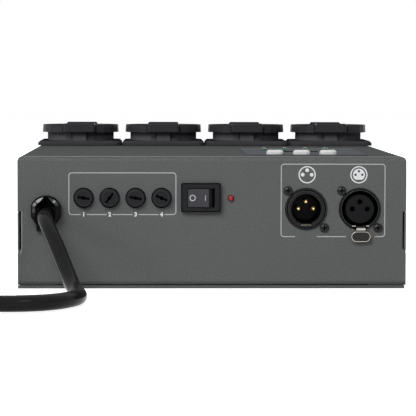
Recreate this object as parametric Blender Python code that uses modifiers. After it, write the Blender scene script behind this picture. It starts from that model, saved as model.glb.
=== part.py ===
"""A four channel switch pack for stage lighting, modelled as its separate pieces.

Metres, +Z up. +X runs to the right along the connector panel, +Y runs from the connector panel to the
back. The origin is the middle of the footprint, on the surface that the pack stands on.
"""

import math

import bmesh
import bpy
import numpy as np
from mathutils import Matrix, Vector

# Clearances
GAP = 0.0003
FILM_GAP = 0.0002

# Facets round a circle, by how large it is
TINY_SIDES = 8
SMALL_SIDES = 12
ROUND_SIDES = 16
WIDE_SIDES = 24
HEX_SIDES = 6
CORNER_STEPS = 2

# Folded steel housing and its base tray
WIDTH = 0.206
DEPTH = 0.225
HEIGHT = 0.070
SHEET = 0.0012
BEND_RADIUS = 0.0022
BEND_STEPS = 2
BASE_SHEET = 0.0016
BASE_INSET = 0.00075
SIDE_FLANGE_HEIGHT = 0.014
CORNER_TAB_HEIGHT = 0.046
CORNER_TAB_LENGTH = 0.022
LIP_HEIGHT = 0.007
LIP_HALF_LENGTH = 0.080
RELIEF_GAP_HEIGHT = 0.0006
RELIEF_GAP_HALF_LENGTH = 0.0828
NOTCH_DEPTH = 0.0019
NOTCH_LENGTH = 0.017
NOTCH_TOP = 0.0409
NOTCH_BOTTOM = 0.0209
NOTCH_SLOT = 0.0006
VENT_WIDTH = 0.003
VENT_LENGTH = 0.040
VENT_PITCH = 0.014
VENT_COUNT = 6
VENT_ROWS = (0.060, 0.150)
SIDE_SCREW_MARGIN = 0.030
SIDE_SCREW_DEPTHS = (SIDE_SCREW_MARGIN, DEPTH - SIDE_SCREW_MARGIN)
SIDE_SCREW_HEIGHT = 0.0085
SCREW_RADIUS = 0.0015
SCREW_HEAD_RADIUS = 0.0028
SIDE_SCREW_LENGTH = 0.006
CUT_MARGIN = 0.001

# Mains outlets on the top
OUTLET_COUNT = 4
OUTLET_PITCH = 0.0516
OUTLET_BACK_MARGIN = 0.0335
OUTLET_DEPTH = DEPTH - OUTLET_BACK_MARGIN
FLANGE_SIDE = 0.0508
FLANGE_THICKNESS = 0.0028
FLANGE_CORNER = 0.005
FLANGE_CHAMFER = 0.0013
FLANGE_CORNER_STEPS = 3
BARREL_RADIUS = 0.0206
BARREL_TOP = 0.0081
RING_RADIUS = 0.0237
RING_DRAFT = 0.0003
RING_TOP = 0.0127
LOBE_WIDTH = 0.0193
LOBE_REACH = 0.0250
LOBE_BOTTOM = 0.0085
LOBE_TOP = 0.0138
LOBE_CORNER = 0.0014
LOBE_CHAMFER = 0.0007
PAD_WIDTH = 0.0082
PAD_REACH = 0.0213
GROOVE_WIDTH = 0.0008
GROOVE_FLOOR = 0.0195
LOBE_GROOVE_FLOOR = 0.0206
RECESS_RADIUS = 0.0195
RECESS_DEPTH = 0.0175
GUIDE_WIDTH = 0.0050
GUIDE_REACH = 0.0022
GUIDE_TOP_DROP = 0.0020
WELL_RADIUS = 0.0213
WELL_FLOOR = 0.0030
CORE_RADIUS = 0.0165
CORE_DEPTH = 0.0265
PIN_SPACING = 0.019
PIN_HOLE_RADIUS = 0.0026
PIN_HOLE_LIP = 0.0025
SLEEVE_RADIUS = 0.0031
SLEEVE_BORE = 0.0024
SLEEVE_TAIL = 0.0030
CLIP_WIDTH = 0.0042
CLIP_THICKNESS = 0.0006
CLIP_SLOT_REACH = 0.0203
CLIP_BULGE = 0.0176
BARB_WIDTH = 0.0060
BARB_REACH = 0.0012
BARB_HEIGHT = 0.0030
OUTLET_SIDES = 28
BUS_OFFSET = 0.0040
BUS_THICKNESS = 0.0020
BUS_HEIGHT = 0.0026
BUS_ARM = 0.0030
EARTH_BAR_OFFSET = 0.0090

# Fuse holders
LAST_FUSE_X = -0.0269
FUSE_PITCH = WIDTH / 15
FUSE_XS = tuple(LAST_FUSE_X - FUSE_PITCH * i for i in (3, 2, 1, 0))
FUSE_TURNS = (-10.0, 53.0, -10.0, -24.0)
FUSE_HEIGHT = 0.0482
FUSE_RIM_RADIUS = 0.0054
FUSE_RIM_PROUD = 0.0014
FUSE_BODY_RADIUS = 0.0049
FUSE_BORE = 0.0042
FUSE_BODY_LENGTH = 0.0360
FUSE_LUG_RADIUS = 0.0015
FUSE_LUG_LENGTH = 0.0050
FUSE_WALL = 0.0020
KNOB_RADIUS = 0.0039
KNOB_PROUD = 0.0026
KNOB_LENGTH = 0.0085
KNOB_SLOT_WIDTH = 0.0012
KNOB_SLOT_LENGTH = 0.0068
KNOB_SLOT_DEPTH = 0.0014
KNOB_EYE_RADIUS = 0.0009
LINK_RADIUS = 0.0026
LINK_GLASS_RADIUS = 0.0024
LINK_CAP_LENGTH = 0.0050
LINK_LENGTH = 0.0200
LINK_GRIP_RADIUS = 0.0036
LINK_GRIP_LENGTH = 0.0022
FUSE_BARB_RADIUS = 0.0058
FUSE_BARB_LENGTH = 0.0025

# Rocker switch, which turns about an upright axis
SWITCH_X = -0.00605
SWITCH_HEIGHT = 0.04825
BEZEL_WIDTH = 0.0209
BEZEL_HEIGHT = 0.0149
BEZEL_PROUD = 0.0020
BEZEL_EDGE = 0.0005
SWITCH_BODY_WIDTH = 0.0190
SWITCH_BODY_HEIGHT = 0.0128
SWITCH_BODY_DEPTH = 0.0150
CAVITY_WIDTH = 0.0147
CAVITY_HEIGHT = 0.0101
CAVITY_DEPTH = 0.0080
ROCKER_PIVOT_DEPTH = 0.0040
ROCKER_TILT = math.radians(12.0)
ROCKER_HEIGHT = 0.0095
ROCKER_FACE_HALF = 0.00565
ROCKER_FACE_REACH = 0.0072
ROCKER_CREASE_REACH = 0.0069
ROCKER_BACK = 0.0015
ROCKER_HUB_HALF = 0.0030
PIVOT_RADIUS = 0.0011
PIVOT_PIN = 0.0006
BLADE_SIZE = (0.0048, 0.0080, 0.0008)
BLADE_SPACING = (0.0080, 0.0060)

# Indicator lamps
LAMP_RADIUS = 0.0015
LAMP_HOLE = 0.0018
LAMP_DOME = 0.0012
POWER_LAMP_X = 0.0098
POWER_LAMP_HEIGHT = 0.0480
POWER_LAMP_PROUD = 0.0018
POWER_LAMP_LENGTH = 0.0060
CHANNEL_LAMP_XS = (0.0314, 0.0432, 0.0549, 0.0664)
CHANNEL_LAMP_DEPTH = 0.0805
CHANNEL_LAMP_PROUD = 0.0021

# Three-pole data connectors
XLR_IN_X = 0.0498
XLR_OUT_X = 0.0783
XLR_HEIGHT = 0.0423
XLR_RADIUS = 0.01095
XLR_PROUD = 0.0010
XLR_LENGTH = 0.0165
XLR_FLANGE_SIDE = 0.0252
XLR_FLANGE_THICKNESS = 0.0025
XLR_EDGE = 0.0004
XLR_IN_BORE = 0.00805
XLR_IN_BORE_DEPTH = 0.0150
XLR_OUT_BORE = 0.00985
XLR_OUT_BORE_DEPTH = 0.0130
XLR_INSERT_RADIUS = 0.0082
XLR_INSERT_RECESS = 0.0006
XLR_DISC_THICKNESS = 0.0030
XLR_PIN_RADIUS = 0.0012
XLR_PIN_LENGTH = 0.0110
XLR_PIN_TAIL = 0.0055
XLR_HOLE_RADIUS = 0.00125
XLR_HOLE_DEPTH = 0.0100
XLR_POLES = ((-0.0040, 0.0), (0.0, 0.0038), (0.0040, 0.0))
XLR_STRIP_WIDTH = 0.0050
XLR_STRIP_THICKNESS = 0.0004
XLR_SCREW_OFFSETS = ((-0.0097, 0.0097), (0.0097, -0.0100))
PAN_HEAD_RADIUS = 0.0024
PAN_HEAD_HEIGHT = 0.0013
PAN_SHAFT_RADIUS = 0.0013
PAN_SHAFT_LENGTH = 0.0055
LATCH_X_OFFSET = 0.0005
LATCH_PIVOT_DEPTH = 0.0060
LATCH_ARM_TOP = 0.0090
LATCH_ARM_THICKNESS = 0.0006
LATCH_ARM_WIDTH = 0.0048
LATCH_PROUD = 0.0024
LATCH_SLOT_WIDTH = 0.0064
TAB_WIDTH = 0.0102
TAB_HEIGHT = 0.0055
TAB_THICKNESS = 0.0009
TAB_CENTRE_HEIGHT = 0.0277
TAB_ROUNDING = 0.48
TAB_STEPS = 4

# Control panel on the top
OVERLAY_X = (0.019, 0.085)
OVERLAY_DEPTHS = (0.0215, 0.113)
OVERLAY_THICKNESS = 0.0002
OVERLAY_CORNER = 0.0020
BUTTON_XS = (0.0346, 0.0491, 0.0635)
BUTTON_DEPTH = 0.0262
BUTTON_SIZE = (0.0092, 0.0058)
BUTTON_CORNER = 0.0022
BUTTON_CHAMFER = 0.0009
BUTTON_PROUD = 0.0026
BUTTON_TRAVEL = 0.0005
BUTTON_COLLAR = 0.0008
BUTTON_COLLAR_HEIGHT = 0.0010
BUTTON_STEM_RADIUS = 0.0016
WINDOW_X = 0.0490
WINDOW_DEPTH = 0.0650
WINDOW_SIZE = (0.0240, 0.0130)
WINDOW_THICKNESS = 0.0015
MODULE_HEIGHT = 0.0080
CONTROL_BOARD_X = (0.0185, 0.0865)
CONTROL_BOARD_DEPTHS = (0.0185, 0.1150)
CONTROL_BOARD_DROP = 0.0088
BOARD_THICKNESS = 0.0016
BOARD_EDGE = 0.0040
KEY_SIDE = 0.0060
KEY_HEIGHT = 0.0035
KEY_PLUNGER_RADIUS = 0.00175

# Relay board and what stands on it
TRANSFORMER_X = -0.0300
TRANSFORMER_DEPTH = 0.1000
RELAY_SPACING = 0.0300
RELAY_DEPTH = TRANSFORMER_DEPTH + RELAY_SPACING
BOARD_SIDE_MARGIN = 0.0095
BOARD_BACK_MARGIN = 0.0260
RELAY_BOARD_HALF_WIDTH = WIDTH / 2 - BOARD_SIDE_MARGIN
RELAY_BOARD_DEPTHS = (0.0620, RELAY_DEPTH + BOARD_BACK_MARGIN)
RELAY_BOARD_HEIGHT = 0.0096
STANDOFF_RADIUS = 0.0030
RELAY_SIZE = (0.0290, 0.0130, 0.0160)
CORE_BOX = (0.0410, 0.0140, 0.0340)
BOBBIN_BOX = (0.0260, 0.0300, 0.0240)
BLOCK_SIZE = (0.0560, 0.0100, 0.0120)
BLOCK_DEPTH = 0.0710
STUD_SIDE_MARGIN = 0.0080
STUD_BACK_MARGIN = 0.0200
STUD_X = STUD_SIDE_MARGIN - WIDTH / 2
STUD_DEPTH = DEPTH - STUD_BACK_MARGIN
STUD_RADIUS = 0.0020
STUD_HEIGHT = 0.0130
STUD_NUT_RADIUS = 0.0040
STUD_NUT_THICKNESS = 0.0032
WIRE_RADIUS = 0.0012
WIRE_STEP = 0.006
WIRE_POINT_STEP = 0.010

# Strain relief of the mains lead
RELIEF_SIDE_MARGIN = 0.0151
RELIEF_X = RELIEF_SIDE_MARGIN - WIDTH / 2
RELIEF_PROUD = 0.0050
RELIEF_HALF_WIDTH = 0.0081
RELIEF_DOME_HEIGHT = 0.0414
RELIEF_DOME_STEPS = 12
RELIEF_SHOULDER = 0.0382
RELIEF_BOTTOM = 0.0334
RELIEF_BOTTOM_HALF = 0.0046
RELIEF_MOUTH_HALF = 0.0054
RELIEF_MOUTH_BOTTOM = 0.0343
RELIEF_MOUTH_SHOULDER = 0.0433
RELIEF_MOUTH_APEX = 0.0478
RELIEF_CLAMP_TOP = 0.0433
RELIEF_CLAMP_SET = 0.0030
RELIEF_MOUTH_DEPTH = 0.0046
RELIEF_TAB = ((-0.0051, 0.0306), (-0.0019, 0.0345))
RELIEF_BARREL_RADIUS = 0.0062
RELIEF_BARREL_LENGTH = 0.0130

# Mains lead: its free stretch, its coil, the tie and the plug
CORD_DIAMETER = 0.0080
CORD_EXIT_HEIGHT = 0.0391
LAYER_STEP = 0.0086
COIL_ASIDE = 0.0866
COIL_X = RELIEF_X - COIL_ASIDE
COIL_DISTANCE = 0.0545
COIL_MEAN_RADIUS = 0.0480
COIL_TURNS = 4.25
COIL_POINTS = 24
TIE_THICKNESS = 0.0010
TIE_WIDTH = 0.0120
TIE_CORNER = 0.0030
TIE_TURN = math.radians(200.0)
PLUG_RADIUS = 0.0184
PLUG_FACE_LENGTH = 0.0150
PLUG_LENGTH = 0.0400
PLUG_NECK_RADIUS = 0.0062
PLUG_LEAD = 0.0400
PLUG_PIN_RADIUS = 0.0024
PLUG_PIN_LENGTH = 0.0190
PLUG_NOTCH = (0.0060, 0.0030)
PLUG_STRIP_WIDTH = 0.0040
PLUG_STRIP_THICKNESS = 0.0008

PANEL_Y = (RELIEF_PROUD - DEPTH) / 2
INNER_TOP = HEIGHT - SHEET
COIL_BASE = TIE_THICKNESS + GAP + CORD_DIAMETER / 2

# The lead's route in front of the connector panel: aside of the strain relief, distance, height
LEAD_ROUTE = (
    (0.0000, 0.0123, 0.0391),
    (0.0002, 0.0180, 0.0385),
    (0.0012, 0.0240, 0.0362),
    (0.0029, 0.0295, 0.0327),
    (0.0056, 0.0350, 0.0277),
    (0.0086, 0.0400, 0.0224),
    (0.0114, 0.0450, 0.0171),
    (0.0143, 0.0505, 0.0121),
    (0.0168, 0.0570, 0.0079),
    (0.0187, 0.0640, 0.0053),
    (0.0201, 0.0710, 0.0045),
    (0.0204, 0.0790, 0.0044),
    (0.0181, 0.0880, 0.0044),
    (0.0127, 0.0975, 0.0044),
    (0.0049, 0.1055, 0.0045),
    (-0.0051, 0.1108, 0.0047),
    (-0.0166, 0.1130, 0.0049),
    (-0.0301, 0.1133, 0.0051),
    (-0.0451, 0.1129, 0.0052),
)

LOOKS = {
    "housing_paint": ((0.125, 0.130, 0.132), 0.50, 0.0),
    "base_paint": ((0.110, 0.114, 0.116), 0.50, 0.0),
    "outlet_black": ((0.022, 0.022, 0.024), 0.45, 0.0),
    "switch_black": ((0.026, 0.026, 0.029), 0.40, 0.0),
    "connector_black": ((0.024, 0.024, 0.026), 0.40, 0.0),
    "insert_black": ((0.016, 0.016, 0.018), 0.55, 0.0),
    "relief_black": ((0.014, 0.014, 0.016), 0.30, 0.0),
    "cord_black": ((0.020, 0.020, 0.021), 0.38, 0.0),
    "screw_black": ((0.030, 0.030, 0.032), 0.35, 0.9),
    "nickel": ((0.70, 0.68, 0.64), 0.22, 1.0),
    "gold": ((0.83, 0.62, 0.30), 0.25, 1.0),
    "brass": ((0.74, 0.56, 0.28), 0.35, 1.0),
    "button_grey": ((0.58, 0.58, 0.56), 0.45, 0.0),
    "lamp_green": ((0.020, 0.120, 0.055), 0.15, 0.0),
    "lamp_red": ((0.420, 0.020, 0.025), 0.15, 0.0),
    "window_dark": ((0.020, 0.014, 0.016), 0.10, 0.0),
    "overlay_film": ((0.105, 0.118, 0.130), 0.35, 0.0),
    "board_green": ((0.020, 0.130, 0.060), 0.40, 0.0),
    "core_steel": ((0.22, 0.21, 0.20), 0.50, 0.8),
    "fuse_glass": ((0.70, 0.74, 0.74), 0.08, 0.0),
}

AXIS_TURNS = {
    "X": Matrix.Rotation(math.pi / 2, 4, "Y"),
    "Y": Matrix.Rotation(-math.pi / 2, 4, "X"),
    "Z": Matrix.Identity(4),
}
FACING_FRONT = (math.pi / 2, 0.0, 0.0)
FACING_BACK = (-math.pi / 2, 0.0, 0.0)
FACING_UP = (0.0, 0.0, 0.0)


def at(x, depth, z):
    """A place given by its distance behind the connector panel's outer face."""
    return Vector((x, PANEL_Y + depth, z))


def outlet_xs():
    first = -OUTLET_PITCH * (OUTLET_COUNT - 1) / 2
    return [first + OUTLET_PITCH * i for i in range(OUTLET_COUNT)]


# Scene, collections and materials


def clear_scene():
    for thing in list(bpy.data.objects):
        bpy.data.objects.remove(thing, do_unlink=True)


def new_collection(name):
    made = bpy.data.collections.new(name)
    bpy.context.scene.collection.children.link(made)
    return made


def material(look):
    found = bpy.data.materials.get(look)
    if found:
        return found
    colour, roughness, metallic = LOOKS[look]
    made = bpy.data.materials.new(look)
    made.use_nodes = True
    shader = made.node_tree.nodes["Principled BSDF"]
    shader.inputs["Base Color"].default_value = (*colour, 1.0)
    shader.inputs["Roughness"].default_value = roughness
    shader.inputs["Metallic"].default_value = metallic
    made.diffuse_color = (*colour, 1.0)
    return made


def link(thing, look, place=(0, 0, 0), facing=FACING_UP):
    """Puts an object with a look among the parts, or with no look among the cutters."""
    thing.location = place
    thing.rotation_euler = facing
    if look:
        thing.data.materials.append(material(look))
        PARTS.objects.link(thing)
    else:
        thing.hide_render = True
        thing.display_type = "WIRE"
        CUTTERS.objects.link(thing)
    return thing


# Shapes


def add_box(shape, low, high):
    size = Vector(high) - Vector(low)
    middle = (Vector(high) + Vector(low)) / 2
    place = Matrix.Translation(middle) @ Matrix.Diagonal((*size, 1.0))
    return bmesh.ops.create_cube(shape, size=1.0, matrix=place)["verts"]


def add_rod(shape, start, axis, length, radius, sides, tip_radius=None, spin=0.0):
    """A cylinder or cone that starts at a point and runs along +X, +Y or +Z."""
    turn = AXIS_TURNS[axis]
    middle = Vector(start) + turn @ Vector((0, 0, length / 2))
    place = Matrix.Translation(middle) @ turn @ Matrix.Rotation(spin, 4, "Z")
    bmesh.ops.create_cone(
        shape,
        cap_ends=True,
        segments=sides,
        radius1=radius,
        radius2=radius if tip_radius is None else tip_radius,
        depth=length,
        matrix=place,
    )


def round_edges(shape, verts, axis, radius, steps):
    """Rounds a new box's four edges that run along an axis."""
    index = "XYZ".index(axis)
    chosen = []
    for edge in {edge for vert in verts for edge in vert.link_edges}:
        run = (edge.verts[1].co - edge.verts[0].co).normalized()
        if abs(run[index]) > 0.99:
            chosen.append(edge)
    bmesh.ops.bevel(
        shape,
        geom=chosen,
        offset=radius,
        offset_type="OFFSET",
        segments=steps,
        profile=0.5,
        affect="EDGES",
    )


def made_of(name, shape, look, place=(0, 0, 0), facing=FACING_UP):
    """An object made of the bodies in a bmesh."""
    mesh = bpy.data.meshes.new(name)
    shape.to_mesh(mesh)
    shape.free()
    return link(bpy.data.objects.new(name, mesh), look, place, facing)


def block(name, low, high, look=None, rounded=None):
    """A box, with the four edges along an axis rounded if asked: (axis, radius, steps)."""
    shape = bmesh.new()
    verts = add_box(shape, low, high)
    if rounded:
        round_edges(shape, verts, *rounded)
    return made_of(name, shape, look)


def turned(name, profile, look, place, facing=FACING_UP, sides=24, closed=False):
    """A profile of radius and height, turned round the object's own Z axis."""
    mesh = bpy.data.meshes.new(name)
    points = [(radius, 0.0, height) for radius, height in profile]
    edges = [(i, i + 1) for i in range(len(points) - 1)]
    if closed:
        edges.append((len(points) - 1, 0))
    mesh.from_pydata(points, edges, [])
    thing = link(bpy.data.objects.new(name, mesh), look, place, facing)
    screw = thing.modifiers.new("turn", "SCREW")
    screw.steps = sides
    screw.render_steps = sides
    screw.use_merge_vertices = True
    screw.merge_threshold = 0.00001
    screw.use_smooth_shade = True
    return thing


def made_mesh(drawn):
    """The closed mesh of a drawn curve, which goes once the mesh is made."""
    bpy.context.view_layer.update()
    seen = drawn.evaluated_get(bpy.context.evaluated_depsgraph_get())
    mesh = bpy.data.meshes.new_from_object(seen)
    shape = bmesh.new()
    shape.from_mesh(mesh)
    bmesh.ops.remove_doubles(shape, verts=shape.verts, dist=0.000001)
    shape.to_mesh(mesh)
    shape.free()
    curve = drawn.data
    bpy.data.objects.remove(drawn, do_unlink=True)
    bpy.data.curves.remove(curve)
    return mesh


def outline(name, points, half_thickness, look, place, facing=FACING_FRONT):
    """A flat outline with a thickness, made a mesh."""
    curve = bpy.data.curves.new(name, "CURVE")
    curve.dimensions = "2D"
    curve.fill_mode = "BOTH"
    curve.extrude = half_thickness
    spline = curve.splines.new("POLY")
    spline.points.add(len(points) - 1)
    for point, (x, y) in zip(spline.points, points):
        point.co = (x, y, 0.0, 1.0)
    spline.use_cyclic_u = True
    drawn = bpy.data.objects.new(name + "_outline", curve)
    bpy.context.scene.collection.objects.link(drawn)
    return link(bpy.data.objects.new(name, made_mesh(drawn)), look, place, facing)


def combine(target, tool, operation):
    step = target.modifiers.new(tool.name, "BOOLEAN")
    step.operation = operation
    step.solver = "EXACT"
    step.object = tool


def cut(target, tool):
    combine(target, tool, "DIFFERENCE")


def fuse(target, tool):
    combine(target, tool, "UNION")


def bevel(thing, width, steps=1, angle=40.0):
    step = thing.modifiers.new("edges", "BEVEL")
    step.width = width
    step.segments = steps
    step.limit_method = "ANGLE"
    step.angle_limit = math.radians(angle)
    step.harden_normals = False


def smooth(thing, angle=35.0):
    thing.data.shade_smooth()
    thing.data.set_sharp_from_angle(angle=math.radians(angle))


def settled(thing):
    """The mesh that an object's modifiers make; the object goes, and so do its tools."""
    bpy.context.view_layer.update()
    seen = thing.evaluated_get(bpy.context.evaluated_depsgraph_get())
    mesh = bpy.data.meshes.new_from_object(seen)
    tools = [step.object for step in thing.modifiers if step.type == "BOOLEAN"]
    for used in [thing, *tools]:
        bpy.data.objects.remove(used, do_unlink=True)
    mesh.shade_smooth()
    mesh.set_sharp_from_angle(angle=math.radians(35.0))
    return mesh


def copies(name, mesh, places, facing=FACING_UP, turns=None):
    """One object for each place, all with the same mesh, numbered from 1."""
    made = []
    for i, place in enumerate(places):
        copy = bpy.data.objects.new(f"{name}_{i + 1}", mesh)
        copy.location = place
        copy.rotation_euler = facing
        if turns:
            copy.rotation_euler = (facing[0], turns[i], facing[2])
        PARTS.objects.link(copy)
        made.append(copy)
    return made


# Smooth routes and tubes


def smooth_route(route, step):
    """Points a step apart along the smooth curve through a route's points."""
    knots = np.array(route, float)
    padded = np.vstack([2 * knots[0] - knots[1], knots, 2 * knots[-1] - knots[-2]])
    fine = []
    for i in range(1, len(padded) - 2):
        before, start, end, after = padded[i - 1 : i + 3]
        for t in np.linspace(0, 1, 16, endpoint=False):
            fine.append(
                0.5
                * (
                    2 * start
                    + (end - before) * t
                    + (2 * before - 5 * start + 4 * end - after) * t**2
                    + (3 * start - before - 3 * end + after) * t**3
                )
            )
    fine.append(padded[-2])
    fine = np.array(fine)
    along = np.concatenate([[0], np.cumsum(np.linalg.norm(np.diff(fine, axis=0), axis=1))])
    count = max(2, round(along[-1] / step) + 1)
    where = np.linspace(0, along[-1], count)
    return np.stack([np.interp(where, along, fine[:, k]) for k in range(3)], axis=1)


def tubes(name, lines, radius, look, resolution):
    """One object with a round tube along each line of points."""
    curve = bpy.data.curves.new(name, "CURVE")
    curve.dimensions = "3D"
    curve.bevel_depth = radius
    curve.bevel_resolution = resolution
    curve.use_fill_caps = True
    for line in lines:
        spline = curve.splines.new("POLY")
        spline.points.add(len(line) - 1)
        for point, place in zip(spline.points, line):
            point.co = (*place, 1.0)
    return link(bpy.data.objects.new(name, curve), look)


def wire(name, route, place=(0, 0, 0), facing=FACING_UP):
    """An insulated wire along a smooth route, made a mesh that a piece can be fused with."""
    drawn = tubes(name + "_line", [smooth_route(route, WIRE_POINT_STEP)], WIRE_RADIUS, None, 1)
    return link(bpy.data.objects.new(name, made_mesh(drawn)), None, place, facing)


# Housing and base tray


def housing():
    """The folded shell: top, four walls and every hole in them."""
    shape = bmesh.new()
    low = at(-WIDTH / 2, 0, BASE_SHEET + GAP)
    high = at(WIDTH / 2, DEPTH, HEIGHT)
    add_box(shape, low, high)
    shape.faces.ensure_lookup_table()
    under = [face for face in shape.faces if face.normal.z < -0.5]
    bmesh.ops.delete(shape, geom=under, context="FACES")
    folds = [e for e in shape.edges if all(abs(v.co.z - HEIGHT) < GAP for v in e.verts)]
    bmesh.ops.bevel(
        shape,
        geom=folds,
        offset=BEND_RADIUS,
        offset_type="OFFSET",
        segments=BEND_STEPS,
        profile=0.5,
        affect="EDGES",
    )
    shell = made_of("housing", shape, "housing_paint")
    sheet = shell.modifiers.new("sheet", "SOLIDIFY")
    sheet.thickness = SHEET
    sheet.offset = -1.0
    sheet.use_even_offset = True
    fuse(shell, board_posts())
    cut(shell, panel_holes())
    cut(shell, top_holes())
    cut(shell, wall_cuts())


def board_posts():
    """Posts under the top that the control board hangs from."""
    shape = bmesh.new()
    bottom = INNER_TOP - CONTROL_BOARD_DROP + GAP
    for x, depth in board_corners(CONTROL_BOARD_X, CONTROL_BOARD_DEPTHS):
        length = INNER_TOP + SHEET / 2 - bottom
        add_rod(shape, at(x, depth, bottom), "Z", length, STANDOFF_RADIUS, HEX_SIDES)
    return made_of("board_posts", shape, None)


def panel_holes():
    """Holes through the connector panel."""
    shape = bmesh.new()
    start = -CUT_MARGIN
    through = SHEET + 2 * CUT_MARGIN
    for x in FUSE_XS:
        add_rod(shape, at(x, start, FUSE_HEIGHT), "Y", through, FUSE_BODY_RADIUS + GAP, ROUND_SIDES)
    half_width = SWITCH_BODY_WIDTH / 2 + GAP
    half_height = SWITCH_BODY_HEIGHT / 2 + GAP
    add_box(
        shape,
        at(SWITCH_X - half_width, start, SWITCH_HEIGHT - half_height),
        at(SWITCH_X + half_width, start + through, SWITCH_HEIGHT + half_height),
    )
    add_rod(shape, at(POWER_LAMP_X, start, POWER_LAMP_HEIGHT), "Y", through, LAMP_HOLE, TINY_SIDES)
    for x in (XLR_IN_X, XLR_OUT_X):
        add_rod(shape, at(x, start, XLR_HEIGHT), "Y", through, XLR_RADIUS + GAP, WIDE_SIDES)
        for aside, above in XLR_SCREW_OFFSETS:
            place = at(x + aside, start, XLR_HEIGHT + above)
            add_rod(shape, place, "Y", through, PAN_SHAFT_RADIUS + GAP, TINY_SIDES)
    place = at(RELIEF_X, start, CORD_EXIT_HEIGHT)
    add_rod(shape, place, "Y", through, RELIEF_BARREL_RADIUS + GAP, ROUND_SIDES)
    return made_of("panel_holes", shape, None)


def top_holes():
    """Holes through the top, for the outlets and the controls."""
    shape = bmesh.new()
    start = INNER_TOP - CUT_MARGIN
    through = SHEET + 2 * CUT_MARGIN
    for x in outlet_xs():
        add_rod(shape, at(x, OUTLET_DEPTH, start), "Z", through, WELL_RADIUS + GAP, OUTLET_SIDES)
    for x in BUTTON_XS:
        add_button_hole(shape, x, start, start + through)
    for x in CHANNEL_LAMP_XS:
        add_rod(shape, at(x, CHANNEL_LAMP_DEPTH, start), "Z", through, LAMP_HOLE, TINY_SIDES)
    half_x = WINDOW_SIZE[0] / 2 + GAP
    half_y = WINDOW_SIZE[1] / 2 + GAP
    add_box(
        shape,
        at(WINDOW_X - half_x, WINDOW_DEPTH - half_y, start),
        at(WINDOW_X + half_x, WINDOW_DEPTH + half_y, start + through),
    )
    return made_of("top_holes", shape, None)


def add_button_hole(shape, x, low, high):
    """A button's hole, a gap wider than its cap all round."""
    half_x = BUTTON_SIZE[0] / 2 + GAP
    half_y = BUTTON_SIZE[1] / 2 + GAP
    verts = add_box(
        shape,
        at(x - half_x, BUTTON_DEPTH - half_y, low),
        at(x + half_x, BUTTON_DEPTH + half_y, high),
    )
    round_edges(shape, verts, "Z", BUTTON_CORNER + GAP, CORNER_STEPS)


def wall_cuts():
    """The corner notches, the relief above the base and the side screws' countersinks."""
    shape = bmesh.new()
    for side in (-1, 1):
        outer = side * (WIDTH / 2 + CUT_MARGIN)
        inner = side * (WIDTH / 2 - NOTCH_DEPTH)
        verts = add_box(
            shape,
            at(min(outer, inner), -CUT_MARGIN, NOTCH_BOTTOM),
            at(max(outer, inner), NOTCH_LENGTH, NOTCH_TOP),
        )
        for vert in verts:
            if abs(vert.co.x - outer) < GAP and vert.co.z < NOTCH_TOP - GAP:
                vert.co.z -= NOTCH_DEPTH + CUT_MARGIN
        for depth in SIDE_SCREW_DEPTHS:
            place = at(side * WIDTH / 2 - (SHEET + GAP if side > 0 else GAP), depth, SIDE_SCREW_HEIGHT)
            wide = SCREW_HEAD_RADIUS + 2 * GAP
            narrow = SCREW_RADIUS + GAP
            radii = (narrow, wide) if side > 0 else (wide, narrow)
            add_rod(shape, place, "X", SHEET + 2 * GAP, radii[0], SMALL_SIDES, radii[1])
    low = at(-RELIEF_GAP_HALF_LENGTH, -CUT_MARGIN, 0)
    high = at(RELIEF_GAP_HALF_LENGTH, SHEET + CUT_MARGIN, BASE_SHEET + RELIEF_GAP_HEIGHT)
    add_box(shape, low, high)
    return made_of("wall_cuts", shape, None)


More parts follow.
